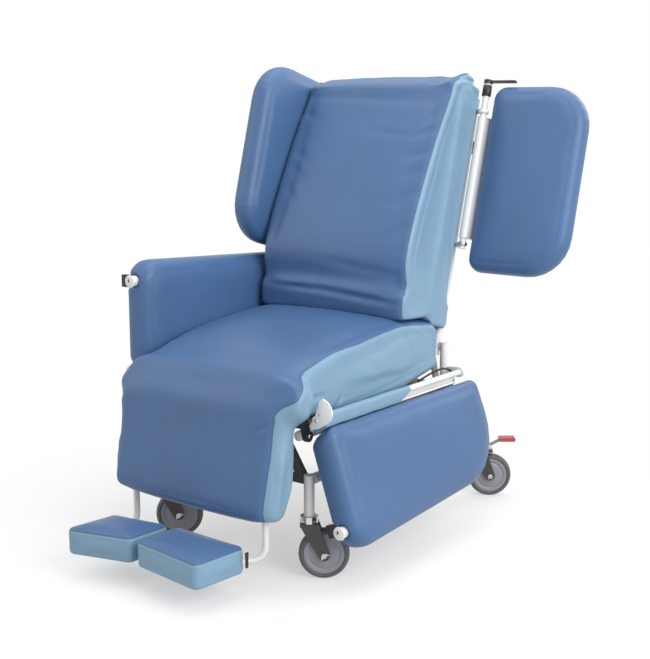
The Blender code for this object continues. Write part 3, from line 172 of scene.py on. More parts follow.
# Distances from the seam: half the change of colour, and the painted shadow line that fades out beside it
SEAM_CHANGE = 0.0004
SEAM_DARK, SEAM_CLEAR = 0.0005, 0.0024
SEAM_SHADOW = 0.62
PORE_SCALE, CREASE_SCALE = 900.0, 420.0


def vinyl():
    """Coated upholstery: two blues that meet at a seam, a painted shadow line along that seam, and a leathery
    grain.
    """
    mat, nodes, links, shader = new_material("vinyl_two_tone")
    coords = nodes.new("ShaderNodeTexCoord").outputs["Object"]
    seam = nodes.new("ShaderNodeAttribute")
    seam.attribute_name = "seam"
    away = seam.outputs["Fac"]
    broad = noise(nodes, links, coords, 5.0, 3.0)
    pores = noise(nodes, links, coords, PORE_SCALE, 3.0, 0.6)
    creases = nodes.new("ShaderNodeTexVoronoi")
    creases.feature = "DISTANCE_TO_EDGE"
    creases.inputs["Scale"].default_value = CREASE_SCALE
    links.new(coords, creases.inputs["Vector"])
    deep = ramp(nodes, links, broad, [(0.3, shade(DARK_BLUE, 0.94)), (0.7, shade(DARK_BLUE, 1.07))])
    pale = ramp(nodes, links, broad, [(0.3, shade(LIGHT_BLUE, 0.95)), (0.7, shade(LIGHT_BLUE, 1.05))])
    both = mixed(nodes, links, span(nodes, links, away, -SEAM_CHANGE, SEAM_CHANGE), deep, pale)
    # Painted seam shadow: the colour is darkened within a few millimetres of the seam
    absolute = nodes.new("ShaderNodeMath")
    absolute.operation = "ABSOLUTE"
    links.new(away, absolute.inputs[0])
    line = span(nodes, links, absolute.outputs[0], SEAM_DARK, SEAM_CLEAR, SEAM_SHADOW, 1.0)
    tint = mixed(nodes, links, 1.0, both, line, "MULTIPLY")
    links.new(tint, shader.inputs["Base Color"])
    links.new(span(nodes, links, broad, 0.3, 0.7, 0.40, 0.48), shader.inputs["Roughness"])
    shader.inputs["Specular IOR Level"].default_value = 0.45
    edge = span(nodes, links, creases.outputs["Distance"], 0.0, 0.08)
    first = bumped(nodes, links, shader, edge, 0.10, 0.0003)
    bumped(nodes, links, shader, pores, 0.10, 0.0002, first)
    return mat


VINYL = vinyl()
WHITE = finish_material("white_powder_coat", (0.80, 0.80, 0.79), 0.38, bump=0.10, vary=0.03)
WHITE_PLASTIC = finish_material("white_moulding", (0.84, 0.84, 0.82), 0.32, bump=0.04, vary=0.02)
GUNMETAL = finish_material("dark_grey_coat", (0.070, 0.064, 0.060), 0.36, 0.55, bump=0.10, vary=0.12)
TAUPE = finish_material("taupe_paint", (0.105, 0.098, 0.088), 0.42, 0.2, vary=0.08)
CHROME = finish_material("bright_plate", (0.62, 0.61, 0.60), 0.16, 1.0, bump=0.03, vary=0.06, spread=0.05)
STEEL = finish_material("ground_steel", (0.52, 0.52, 0.53), 0.26, 1.0, grain=1500.0, vary=0.05)
BLACK = finish_material("black_moulding", (0.016, 0.016, 0.018), 0.42, vary=0.15)
GREY_HUB = finish_material("grey_hub_moulding", (0.30, 0.30, 0.335), 0.40, vary=0.05)
GREY_TYRE = finish_material("grey_tread", (0.105, 0.107, 0.116), 0.52, grain=450.0, bump=0.14, vary=0.08)
GREY_PAINT = finish_material("grey_paint", (0.26, 0.26, 0.27), 0.40, 0.2)
RED = finish_material("red_moulding", (0.50, 0.060, 0.075), 0.40, vary=0.08)
# Painted shade: near-black finish for the sheet that stands in for the shade inside the button's slot
PAINTED_SLOT_SHADE = finish_material("painted_slot_shade", (0.02, 0.02, 0.02), 0.6)


def board_material():
    """Coated plywood: long soft figure along one way."""
    mat, nodes, links, shader = new_material("coated_board")
    coords = nodes.new("ShaderNodeTexCoord").outputs["Object"]
    stretch = nodes.new("ShaderNodeMapping")
    stretch.inputs["Scale"].default_value = (40.0, 2.0, 2.0)
    links.new(coords, stretch.inputs["Vector"])
    figure = noise(nodes, links, stretch.outputs["Vector"], 1.6, 5.0)
    tint = ramp(nodes, links, figure, [(0.35, (0.20, 0.135, 0.075)), (0.65, (0.34, 0.245, 0.15))])
    links.new(tint, shader.inputs["Base Color"])
    shader.inputs["Roughness"].default_value = 0.55
    bumped(nodes, links, shader, figure, 0.1, 0.0004)
    return mat


BOARD = board_material()


# Making pieces
def smooth(obj):
    obj.data.polygons.foreach_set("use_smooth", [True] * len(obj.data.polygons))
    return obj


def prism_faces(n):
    """Faces of a prism: n corners at one end and n at the other."""
    sides = [(k, (k + 1) % n, n + (k + 1) % n, n + k) for k in range(n)]
    return [tuple(range(n)), tuple(range(2 * n - 1, n - 1, -1))] + sides


def piece(name, verts, faces, mat):
    mesh = bpy.data.meshes.new(name)
    mesh.from_pydata([tuple(v) for v in verts], [], faces)
    mesh.update()
    obj = bpy.data.objects.new(name, mesh)
    COLLECTION.objects.link(obj)
    obj.data.materials.append(mat)
    bm = bmesh.new()
    bm.from_mesh(mesh)
    bmesh.ops.recalc_face_normals(bm, faces=bm.faces[:])
    bm.to_mesh(mesh)
    bm.free()
    return smooth(obj)


def apply_all(obj):
    """Puts the modifiers' result into the mesh."""
    bpy.context.view_layer.update()
    final = obj.evaluated_get(bpy.context.evaluated_depsgraph_get())
    mesh = bpy.data.meshes.new_from_object(final)
    old = obj.data
    obj.modifiers.clear()
    obj.data = mesh
    bpy.data.meshes.remove(old)
    return obj


def points_of(obj):
    co = np.empty(len(obj.data.vertices) * 3, np.float32)
    obj.data.vertices.foreach_get("co", co)
    return co.reshape(-1, 3).astype(float)


def set_points(obj, co):
    obj.data.vertices.foreach_set("co", np.asarray(co, np.float32).ravel())
    obj.data.update()


def normals_of(obj):
    n = np.empty(len(obj.data.vertices) * 3, np.float32)
    obj.data.vertex_normals.foreach_get("vector", n)
    return n.reshape(-1, 3).astype(float)


def copied(name, *nodes):
    """One new mesh with the shapes of some CAD nodes, at rest."""
    bm = bmesh.new()
    for node in nodes:
        bm.from_mesh(NODES[node].data)
    mesh = bpy.data.meshes.new(name)
    bm.to_mesh(mesh)
    bm.free()
    obj = bpy.data.objects.new(name, mesh)
    COLLECTION.objects.link(obj)
    return obj


def relax(obj, times, weight=None):
    """Evens out the surface, everywhere or by a weight for each point."""
    mod = obj.modifiers.new("relax", "SMOOTH")
    mod.factor = 0.5
    mod.iterations = times
    if weight is not None:
        group = obj.vertex_groups.new(name="relax")
        for k in np.nonzero(weight > 0.01)[0]:
            group.add([int(k)], float(weight[k]), "REPLACE")
        mod.vertex_group = "relax"
    apply_all(obj)
    obj.vertex_groups.clear()
    return obj


def ease(value, start, end):
    """0 at the start, 1 at the end, and smooth between."""
    t = np.clip((value - start) / (end - start), 0.0, 1.0)
    return t * t * (3 - 2 * t)


def spread_out(obj, values, times):
    """Evens a value of each point out over its neighbours."""
    ends = np.empty(len(obj.data.edges) * 2, np.int32)
    obj.data.edges.foreach_get("vertices", ends)
    one, two = ends[0::2], ends[1::2]
    count = np.bincount(ends, minlength=len(values)).astype(float)
    for _ in range(times):
        total = np.bincount(one, values[two], len(values)) + np.bincount(two, values[one], len(values))
        values = 0.5 * values + 0.5 * total / np.maximum(count, 1.0)
    return values


CLOTH_FRAMES = 14
CLOTH_PRESSURE = 4.0
CLOTH_STIFFNESS = 15.0
CLOTH_EVENING = 30


def swell(obj, cap):
    """A short cloth run under inner pressure; no point moves further than the cap."""
    start = points_of(obj)
    mod = obj.modifiers.new("cloth", "CLOTH")
    mod.settings.use_pressure = True
    mod.settings.uniform_pressure_force = CLOTH_PRESSURE
    mod.settings.quality = 4
    mod.settings.tension_stiffness = CLOTH_STIFFNESS
    mod.settings.compression_stiffness = CLOTH_STIFFNESS
    mod.settings.bending_stiffness = 0.5
    mod.settings.effector_weights.gravity = 0.0
    mod.collision_settings.use_collision = False
    mod.point_cache.frame_start = 1
    mod.point_cache.frame_end = CLOTH_FRAMES
    for k in range(1, CLOTH_FRAMES + 1):
        SCENE.frame_set(k)
    apply_all(obj)
    SCENE.frame_set(1)
    move = points_of(obj) - start
    move = np.stack([spread_out(obj, move[:, k], CLOTH_EVENING) for k in range(3)], 1)
    far = np.linalg.norm(move, axis=1)
    keep = np.minimum(1.0, cap / np.maximum(far, 1e-9))
    set_points(obj, start + move * keep[:, None])
    return obj


FILL_ROUNDS = 3


def fill_out(obj, solid, slack):
    """Brings a relaxed cover back out to within a little of the solid that it covers."""
    for _ in range(FILL_ROUNDS):
        co, normals = points_of(obj), normals_of(obj)
        push = np.zeros(len(co))
        for k, point in enumerate(co):
            near, facing, _, gap = solid.find_nearest(Vector(point))
            if (Vector(point) - near).dot(facing) < 0.0:
                push[k] = max(0.0, gap - slack)
        push = spread_out(obj, push, 3)
        set_points(obj, co + normals * push[:, None])
    return obj


def pad_from(name, nodes, voxel, shrink, cap, relaxing, fillers=(), ends=2, slack=0.002):
    """Padded piece: the CAD shape, remeshed, drawn in a little and swollen again as cloth."""
    obj = copied(name, *nodes)
    for filler in fillers:
        bm = bmesh.new()
        bm.from_mesh(obj.data)
        bm.from_mesh(filler.data)
        bm.to_mesh(obj.data)
        bm.free()
        bpy.data.objects.remove(filler)
    bm = bmesh.new()
    bm.from_mesh(obj.data)
    solid = BVHTree.FromBMesh(bm)
    bm.free()
    mod = obj.modifiers.new("remesh", "REMESH")
    mod.mode = "VOXEL"
    mod.voxel_size = voxel
    apply_all(obj)
    relax(obj, relaxing)
    set_points(obj, points_of(obj) - normals_of(obj) * shrink)
    swell(obj, cap)
    obj.modifiers.new("round", "SUBSURF").levels = 1
    apply_all(obj)
    relax(obj, ends)
    fill_out(obj, solid, slack)
    obj.data.materials.clear()
    obj.data.materials.append(VINYL)
    return smooth(obj)


def crisp(obj, angle=35):
    """Smooth shading that keeps edges sharper than an angle."""
    bm = bmesh.new()
    bm.from_mesh(obj.data)
    for edge in bm.edges:
        if len(edge.link_faces) == 2 and edge.calc_face_angle(0.0) > radians(angle):
            edge.smooth = False
    bm.to_mesh(obj.data)
    bm.free()
    return smooth(obj)


def bore(obj, centre, radius, length, sides=32):
    """Round pocket along y."""
    turns = [2 * pi * k / sides for k in range(sides)]
    verts = [(centre[0] + radius * cos(a), centre[1] + end * length / 2, centre[2] + radius * sin(a))
             for end in (-1, 1) for a in turns]
    drill = piece("drill", verts, prism_faces(sides), VINYL)
    mod = obj.modifiers.new("bore", "BOOLEAN")
    mod.operation = "DIFFERENCE"
    mod.object = drill
    mod.solver = "EXACT"
    apply_all(obj)
    bpy.data.objects.remove(drill)
    return crisp(obj, 50)


def set_seam(obj, away, groove=0.0014, width=0.005):
    """Stores how far each point lies past the seam, and draws the seam in."""
    depth = groove * np.exp(-(away / width) ** 2)
    set_points(obj, points_of(obj) - normals_of(obj) * depth[:, None])
    layer = obj.data.attributes.new("seam", "FLOAT", "POINT")
    layer.data.foreach_set("value", away.astype(np.float32))
    return obj


# The cloth rises a little on both sides of a crease: how high and how wide, next to the crease
RIM_HEIGHT, RIM_WIDTH = 0.45, 2.6


def dent(obj, strokes, spot):
    """Creases: each stroke is a line in two coordinates, with its depth and width in metres."""
    co = points_of(obj)
    flat, mask = spot(co, normals_of(obj))
    depth = np.zeros(len(co))
    for (ax, ay), (bx, by), deep, wide in strokes:
        d = np.array([bx - ax, by - ay])
        size = float(d @ d)
        t = np.clip(((flat - (ax, ay)) @ d) / size, 0.0, 1.0)
        near = flat - (np.array([ax, ay]) + t[:, None] * d)
        off = np.linalg.norm(near, axis=1)
        fade = np.sin(np.clip(t, 0.04, 0.96) * pi) ** 0.6
        rim = RIM_HEIGHT * np.exp(-(off / (RIM_WIDTH * wide)) ** 2)
        depth += deep * fade * (np.exp(-(off / wide) ** 2) - rim)
    set_points(obj, co - normals_of(obj) * (depth * mask)[:, None])
    return obj


def soft(obj, body, nodes):
    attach(obj, body)
    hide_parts(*nodes)
    return obj


# Soft pieces
SEAT_HALF = 0.256
BACK_HALF = 0.248
WING_CLEAR = 0.2496  # half width of the back cover that a folded-in wing clears
WING_POST_ACROSS, WING_POST_BEHIND = 0.266, -0.032
WING_SEAM = 0.058  # from the post's axis to the seam on the wing's edge
ARM_DROP = 161  # degrees from the raised arm to the dropped one
# The seam under the arm's pad: its height at the inner edge, its rise outwards and how far in that edge lies
ARM_SEAM_UP, ARM_SEAM_SLOPE, ARM_SEAM_INNER = 0.016, 0.302, 0.0267
BUTTON_POCKET_RADIUS, BUTTON_POCKET_LENGTH = 0.0152, 0.036
FOOT_SEAM_HEIGHT = 0.1215


def chair_place(co):
    """Points in the chair's own coordinates: across, along and up."""
    return co - np.array(SHIFT)


def middle_of(node):
    low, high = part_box(node)
    return [(low[k] + high[k]) / 2 for k in range(3)]


SEAM_PER_TURN = 0.02  # metres past the seam for each unit by which the face turns sideways


def side_seam(obj, turn=0.62):
    """How far each point lies past the edge where the dark face turns into the light side."""
    return SEAM_PER_TURN * (np.abs(normals_of(obj)[:, 0]) - turn)


def past_line(flat, line):
    """Signed distance of points from a line through some corners; the right-hand side counts as past it."""
    best = np.full(len(flat), 9.0)
    signed = np.zeros(len(flat))
    for a, b in zip(line, line[1:]):
        d = np.array(b) - np.array(a)
        t = np.clip(((flat - a) @ d) / float(d @ d), 0.0, 1.0)
        off = flat - (np.array(a) + t[:, None] * d)
        far = np.linalg.norm(off, axis=1)
        side = d[0] * (flat[:, 1] - a[1]) - d[1] * (flat[:, 0] - a[0])
        closer = far < best
        best[closer] = far[closer]
        signed[closer] = np.where(side > 0, far, -far)[closer]
    return signed


# The seam on the side of the knee, as (along, up)
KNEE_SEAM = [(-0.150, 0.562), (-0.229, 0.560), (-0.339, 0.545), (-0.435, 0.5215), (-0.469, 0.497),
             (-0.498, 0.474), (-0.527, 0.4515), (-0.552, 0.4356), (-0.564, 0.389)]
# Degrees up from the front and radius about the knee's axis
KNEE_WEDGE = [(-60, 0.022), (-20, 0.028), (15, 0.034), (35, 0.038), (60, 0.044), (85, 0.047), (108, 0.046),
              (140, 0.040), (175, 0.030)]
KNEE_WEDGE_INSET = 0.003
# The seam's coordinates shear with the distance in from the side, so that it runs on over the rounded edge
SEAM_SIDE, SEAM_SHEAR_ALONG, SEAM_SHEAR_UP = 0.258, 1.22, 0.39
# Where the cover bulges over the bracket of the knee hinge, as along, up and half width
HINGE_ALONG, HINGE_UP, HINGE_HALF = -0.458, 0.447, 0.280


def knee_filler():
    """Wedge that fills the fold over the knee, so that one cover runs from the seat to the legrest."""
    outline = []
    for degrees, radius in KNEE_WEDGE:
        a = radians(degrees)
        outline.append((KNEE.y - radius * cos(a), KNEE.z + radius * sin(a)))
    half = SEAT_HALF - KNEE_WEDGE_INSET
    verts = [(SHIFT.x + s * half, y, z) for s in (-1, 1) for y, z in outline]
    return piece("filler", verts, prism_faces(len(outline)), VINYL)


def on_side(co, normals):
    """Side faces in the coordinates along the seat and up."""
    return chair_place(co)[:, 1:], ease(np.abs(normals[:, 0]), 0.3, 0.7)


def on_front(co, normals):
    """Faces of the legrest and seat seen from the front: across and up."""
    return chair_place(co)[:, [0, 2]], ease(-normals[:, 1], 0.0, 0.4)


def even_out_seat(obj):
    """Evens out the cover round the knee, then at the legrest's lower corners."""
    co = points_of(obj)
    near = np.hypot(co[:, 1] - KNEE.y, co[:, 2] - KNEE.z)
    relax(obj, 200, 1.0 - ease(near, 0.09, 0.20))
    x, _, z = chair_place(points_of(obj)).T
    relax(obj, 90, ease(np.abs(x), 0.18, 0.24) * (1.0 - ease(z, 0.185, 0.25)))


def below_knee(co, start, end):
    """Share of each point in the legrest, growing between two distances under the knee."""
    return ease(KNEE.z - co[:, 2], start, end) * ease(KNEE.y + 0.03 - co[:, 1], 0.0, 0.03)


def sew_seat(obj, co):
    """The seam: along the seat's edge, on the side of the knee and down the legrest's edge."""
    x, y, z = chair_place(co).T
    away = side_seam(obj, 0.74)
    away += (np.maximum(away, x - 0.224) - away) * below_knee(co, 0.00, 0.10)
    fold = ease(-y, 0.20, 0.30) * ease(z, 0.400, 0.432)
    inset = np.clip(SEAM_SIDE - np.abs(x), -0.03, 0.06)
    flat = np.stack((y - SEAM_SHEAR_ALONG * inset, z + SEAM_SHEAR_UP * inset), 1)
    line = past_line(flat, KNEE_SEAM) - 0.03 * (x < 0)
    line = np.minimum(side_seam(obj, 0.12), line)
    set_seam(obj, away + (line - away) * fold)


def shape_legrest(obj, co):
    """Widens the legrest downwards, fills out its right edge and bulges the cover over the hinge brackets."""
    x, y, z = chair_place(co).T
    flare = below_knee(co, 0.02, 0.16)
    move = np.zeros_like(co)
    move[:, 0] = flare * (0.030 * x + np.where(x < 0, -0.010, 0.0) * ease(-x, 0.05, 0.24))
    full = np.exp(-((z - 0.405) / 0.070) ** 2) * ease(-x, 0.10, 0.25) * ease(-y, 0.42, 0.52)
    move[:, 0] -= 0.030 * full
    move[:, 1] = 0.014 * below_knee(co, 0.00, 0.10) * ease(x, 0.205, 0.256) - 0.008 * full
    move[:, 2] -= 0.010 * ease(KNEE.z - co[:, 2], 0.20, 0.29)
    hinge = 1.0 - ease(np.hypot(y - HINGE_ALONG, z - HINGE_UP), 0.028, 0.066)
    hinge = spread_out(obj, hinge * ease(np.abs(normals_of(obj)[:, 0]), 0.5, 0.85), 12)
    bulge = np.maximum(0.0, HINGE_HALF - np.abs(x)) * hinge * ease(np.abs(x), 0.20, 0.24)
    move[:, 0] += np.sign(x) * bulge
    set_points(obj, points_of(obj) + move)


def seat_cover():
    obj = pad_from("seat_and_legrest_cover", ["seat_cushion", "legrest_cushion"], voxel=0.010, shrink=0.003,
                   cap=0.006, relaxing=8, fillers=[knee_filler()], ends=4, slack=0.004)
    even_out_seat(obj)
    co = points_of(obj)
    sew_seat(obj, co)
    shape_legrest(obj, co)
    dent(obj, SEAT_SIDE_FOLDS, on_side)
    dent(obj, SHIN_FOLDS, on_front)
    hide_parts("seat_cushion", "legrest_cushion")
    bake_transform(obj)
    return obj


# Folds: from, to, depth, width; on the seat's side as (along, up), on the legrest as (across, up)
SEAT_SIDE_FOLDS = [
    ((-0.451, 0.503), (-0.492, 0.458), 0.005, 0.008), ((-0.406, 0.519), (-0.440, 0.472), 0.004, 0.009),
    ((-0.336, 0.447), (-0.422, 0.444), 0.004, 0.007), ((-0.275, 0.433), (-0.316, 0.399), 0.004, 0.007),
    ((-0.500, 0.441), (-0.540, 0.385), 0.004, 0.008), ((-0.515, 0.404), (-0.556, 0.392), 0.003, 0.006),
    ((-0.330, 0.407), (-0.116, 0.414), 0.0022, 0.0035), ((-0.140, 0.414), (0.120, 0.440), 0.0022, 0.0035),
    ((0.020, 0.575), (0.107, 0.536), 0.004, 0.009), ((-0.013, 0.543), (0.021, 0.498), 0.002, 0.009),
    ((-0.200, 0.500), (-0.120, 0.470), 0.002, 0.014), ((-0.523, 0.300), (-0.535, 0.236), 0.003, 0.010)]
SHIN_FOLDS = [
    ((0.189, 0.382), (0.222, 0.412), 0.004, 0.006), ((0.200, 0.362), (0.225, 0.372), 0.002, 0.006)]


def back_point(x, y, along):
    """A point given across the back, behind its posts and up along them."""
    return RECLINE + BACK_TURN @ Vector((x, y, along))


def back_place(co):
    """Back coordinates: across, rear of the posts, up along them."""
    return (co - np.array(RECLINE)) @ np.array(BACK_TURN)


def on_back(co, normals):
    """The front of the back: across and up along its posts."""
    facing = -(normals @ np.array(BACK_TURN))[:, 1]
    return back_place(co)[:, [0, 2]], ease(facing, 0.1, 0.6)


# Folds of the back, as (across, up along the posts)
BACK_FOLDS = [
    ((-0.224, 0.660), (0.195, 0.643), 0.003, 0.014), ((-0.215, 0.106), (0.020, 0.102), 0.006, 0.009),
    ((-0.040, 0.105), (0.225, 0.086), 0.007, 0.009), ((-0.010, 0.182), (0.209, 0.163), 0.003, 0.013),
    ((0.222, 0.626), (0.188, 0.568), 0.003, 0.013), ((0.231, 0.567), (0.176, 0.541), 0.0035, 0.012),
    ((0.234, 0.504), (0.170, 0.478), 0.0035, 0.013), ((0.234, 0.453), (0.180, 0.428), 0.003, 0.012),
    ((0.238, 0.392), (0.180, 0.362), 0.0035, 0.014), ((0.240, 0.297), (0.180, 0.262), 0.0035, 0.015),
    ((0.238, 0.198), (0.205, 0.146), 0.004, 0.012), ((-0.240, 0.615), (-0.164, 0.587), 0.003, 0.014),
    ((-0.224, 0.493), (-0.144, 0.462), 0.003, 0.014), ((-0.219, 0.448), (-0.135, 0.405), 0.003, 0.014),
    ((-0.212, 0.378), (-0.150, 0.343), 0.0025, 0.014), ((0.021, 0.556), (0.192, 0.537), 0.002, 0.012),
    ((0.057, 0.356), (0.204, 0.347), 0.0015, 0.013)]


# Padding beside a back post: inner and outer edge, front and rear, bottom and top
BACK_FILLER_ACROSS = (0.200, BACK_HALF - 0.001)
BACK_FILLER_BEHIND = (-0.120, -0.0135)
BACK_FILLER_ALONG = (0.068, 0.715)


def back_filler(side):
    """Padding that squares up one side of the back beside its post."""
    corners = [(side * x, y, z) for x in BACK_FILLER_ACROSS for y in BACK_FILLER_BEHIND
               for z in BACK_FILLER_ALONG]
    faces = [(0, 1, 3, 2), (4, 6, 7, 5), (0, 4, 5, 1), (2, 3, 7, 6), (0, 2, 6, 4), (1, 5, 7, 3)]
    return piece("filler", [back_point(*c) for c in corners], faces, VINYL)


def back_pad():
    obj = pad_from("back_cover", ["back_cushion"], voxel=0.010, shrink=0.003, cap=0.006, relaxing=4,
                   fillers=[back_filler(side) for side in SIDES.values()])
    set_seam(obj, side_seam(obj))
    co = points_of(obj)
    local = back_place(co)
    move = np.zeros_like(co)
    low = 1.0 - ease(local[:, 2], 0.060, 0.150)
    wide = ease(np.abs(local[:, 0]), 0.10, 0.22)
    move[:, 2] -= low * (0.008 + 0.009 * wide)
    top = ease(local[:, 2], 0.60, 0.735)
    ear = ease(local[:, 0], 0.180, 0.238)
    nook = np.exp(-((local[:, 0] - 0.150) / 0.030) ** 2)
    move += np.outer(top * (0.010 * ear - 0.006 * (1 - ear) + 0.003 * nook), np.array(BACK_TURN)[:, 2])
    set_points(obj, co + move)
    dent(obj, BACK_FOLDS, on_back)
    co = points_of(obj)
    co[:, 0] = SHIFT.x + np.clip(co[:, 0] - SHIFT.x, -WING_CLEAR, WING_CLEAR)
    set_points(obj, co)
    return soft(obj, "back", ["back_cushion"])


def wing_pad(side):
    name = "wing_pad_" + side
    obj = pad_from("wing_cover_" + side, [name], voxel=0.009, shrink=0.002, cap=0.006, relaxing=3)
    local = back_place(points_of(obj))
    if side == "left":
        away = local[:, 1] - WING_POST_BEHIND - WING_SEAM
    else:
        away = -local[:, 0] - WING_POST_ACROSS - WING_SEAM
    set_seam(obj, away)
    return soft(obj, "wing_" + side, [name])


def arm_place(co, side):
    """Arm coordinates as they are with the arm up: from its hinge outwards, along, and up."""
    joint = JOINTS["arm_drop_" + side]
    turned = co - np.array(joint["pos_m"])
    if side == "left":
        turned = turned @ np.array(Matrix.Rotation(radians(ARM_DROP), 3, "Y"))
    turned[:, 0] *= SIDES[side]
    return turned


def arm_pad(side):
    name = "arm_pad_" + side
    obj = pad_from("arm_cover_" + side, [name], voxel=0.009, shrink=0.002, cap=0.006, relaxing=3)
    bore(obj, middle_of("arm_button_" + side), BUTTON_POCKET_RADIUS, BUTTON_POCKET_LENGTH)
    local = arm_place(points_of(obj), side)
    under = ARM_SEAM_UP + ARM_SEAM_SLOPE * (local[:, 0] + ARM_SEAM_INNER)
    ragged = 0.0015 * np.sin(local[:, 1] * 61.0) * np.sin(local[:, 1] * 23.0 + 1.0)
    front = ease(-local[:, 1], 0.395, 0.430)
    set_seam(obj, under + 0.002 + 0.012 * front + ragged - local[:, 2])
    return soft(obj, "arm_" + side, [name])


def foot_pad(side):
    name = "foot_pad_" + side
    obj = pad_from("foot_cover_" + side, [name], voxel=0.005, shrink=0.0015, cap=0.003, relaxing=1, ends=0)
    set_seam(obj, FOOT_SEAM_HEIGHT - points_of(obj)[:, 2], groove=0.0010, width=0.003)
    return soft(obj, "foot_" + side, [name])


seat_cover()
back_pad()
for side in SIDES:
    wing_pad(side)
    arm_pad(side)
    foot_pad(side)


# Hard pieces
def lathe(name, profile, centre, axis, mat, steps):
    """Turned piece: a profile of (radius, along) about an axis through a centre."""
    axis = Vector(axis).normalized()
    one = axis.orthogonal().normalized()
    two = axis.cross(one)
    verts = []
    for k in range(steps):
        a = 2 * pi * k / steps
        out = one * cos(a) + two * sin(a)
        verts += [Vector(centre) + out * r + axis * h for r, h in profile]
    n = len(profile)
    faces = []
    for k in range(steps):
        m = (k + 1) % steps
        for i in range(n):
            j = (i + 1) % n
            faces.append((k * n + i, k * n + j, m * n + j, m * n + i))
    return piece(name, verts, faces, mat)


TYRE_RADIUS, TYRE_HALF = 0.0622, 0.016
ROUND_STEPS, SMALL_ROUND_STEPS = 64, 28


def castor_wheel(tag):
    """Tyre and hub disc that stand for a castor wheel, with the groove and bearing cover that show."""
    joint = JOINTS["castor_spin_" + tag]
    centre, axis = joint["pos_m"], joint["axis"]
    half = TYRE_HALF
    side = [(0.050, half - 0.0032), (0.0515, half - 0.0010), (0.0535, half - 0.0002),
            (0.0560, half - 0.0010), (0.0592, half - 0.0034), (0.0613, half - 0.0068),
            (0.0621, half - 0.0110), (TYRE_RADIUS, 0.0)]
    side += [(r, -h) for r, h in side[-2::-1]]
    tyre = lathe("tyre_" + tag, side, centre, axis, GREY_TYRE, ROUND_STEPS)
    face = [(0.0046, half + 0.0012), (0.0125, half + 0.0012), (0.0135, half + 0.0004),
            (0.0150, half - 0.0040), (0.0360, half - 0.0044), (0.0370, half - 0.0052),
            (0.0382, half - 0.0052), (0.0392, half - 0.0040), (0.0470, half - 0.0026),
            (0.0482, half - 0.0034), (0.0496, half - 0.0034)]
    face += [(r, -h) for r, h in face[::-1]]
    hub = lathe("hub_" + tag, face, centre, axis, GREY_HUB, ROUND_STEPS)
    for obj in (tyre, hub):
        crisp(obj, 50)
        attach(obj, "wheel_" + tag)
        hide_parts("castor_wheel_" + tag)


def paint(mat, *nodes):
    for node in nodes:
        obj = NODES[node]
        obj.data.materials.clear()
        obj.data.materials.append(mat)


def soften(width, *nodes):
    """Breaks the sharp edges of CAD nodes."""
    for node in nodes:
        mod = NODES[node].modifiers.new("edges", "BEVEL")
        mod.width = width
        mod.segments = 2
        mod.limit_method = "ANGLE"
        mod.angle_limit = radians(40)
        mod.harden_normals = True


def paint_where(node, mat, test):
    """A second finish on the faces of a CAD node whose middle passes a test."""
    data = NODES[node].data
    data.materials.append(mat)
    index = len(data.materials) - 1
    for face in data.polygons:
        if test(face.center):
            face.material_index = index


def place(obj, body, slot_name):
    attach(obj, body)
    return obj


def slab(name, outline, origin, across, up, depth, mat, bevel=0.0012):
    """Flat piece: an outline in two directions from an origin, given a depth and softened edges."""
    across, up = Vector(across), Vector(up)
    out = across.cross(up)
    verts = [Vector(origin) + across * u + up * v + out * d for d in (0.0, depth) for u, v in outline]
    obj = piece(name, verts, prism_faces(len(outline)), mat)
    mod = obj.modifiers.new("edges", "BEVEL")
    mod.width = bevel
    mod.segments = 2
    mod.limit_method = "ANGLE"
    apply_all(obj)
    return crisp(obj)


def oval(half_wide, half_high, count=20):
    turns = [2 * pi * k / count for k in range(count)]
    return [(half_wide * cos(a), half_high * sin(a)) for a in turns]


def disc(name, centre, axis, radius, height, mat):
    """Low round head with a softened rim."""
    rim = min(0.3 * radius, 0.8 * height)
    hole = 0.0005
    profile = [(hole, 0.0), (radius, 0.0), (radius, height - rim), (radius - 0.3 * rim, height - 0.3 * rim),
               (radius - rim, height), (hole, height)]
    return crisp(lathe(name, profile, centre, axis, mat, SMALL_ROUND_STEPS), 50)


CABLE_RADIUS = 0.0028
CABLE_ROUTE = [(0.250, 0.060, 0.405), (0.262, 0.120, 0.421), (0.270, 0.165, 0.424), (0.274, 0.198, 0.404),
               (0.270, 0.203, 0.372), (0.255, 0.190, 0.350)]


def release_cable():
    """Cable of the recline release: out from under the seat, up behind the rail and down again."""
    route = [SHIFT + Vector(v) for v in CABLE_ROUTE]
    curve = bpy.data.curves.new("release_cable", "CURVE")
    curve.dimensions = "3D"
    curve.bevel_depth = CABLE_RADIUS
    curve.bevel_resolution = 3
    curve.use_fill_caps = True
    line = curve.splines.new("BEZIER")
    line.bezier_points.add(len(route) - 1)
    line.resolution_u = 8
    for knot, point in zip(line.bezier_points, route):
        knot.co = point
        knot.handle_left_type = knot.handle_right_type = "AUTO"
    obj = bpy.data.objects.new("release_cable", curve)
    COLLECTION.objects.link(obj)
    curve.materials.append(BLACK)
    bpy.context.view_layer.update()
    place(obj, "base", "black_plastic")


COLLAR_FROM = 0.1415  # height where a castor's bright collar starts
AXLE_BOLT_REACH = 0.0085
PEDAL_RED_FROM = 0.068  # distance from the swivel's axis where the red tread starts
EDGE_BREAK = 0.0015


def castor_finish(tag):
    """Bright collar and axle bolt on a dark fork."""
    node = "castor_fork_" + tag
    paint(GUNMETAL, node)
    axle = Vector(JOINTS["castor_spin_" + tag]["pos_m"])
    along = Vector(JOINTS["castor_spin_" + tag]["axis"])
    paint_where(node, CHROME, lambda c: c.z > COLLAR_FROM)

    def bolt(c):
        off = c - axle
        return (off - along * off.dot(along)).length < AXLE_BOLT_REACH
    paint_where(node, STEEL, bolt)


def pedal_finish(side):
    node = "brake_pedal_" + side
    paint(GREY_PAINT, node)
    stem = Vector(JOINTS["castor_swivel_rear_" + side]["pos_m"])
    paint_where(node, RED, lambda c: (c - stem).xy.length > PEDAL_RED_FROM)
    soften(EDGE_BREAK, node)


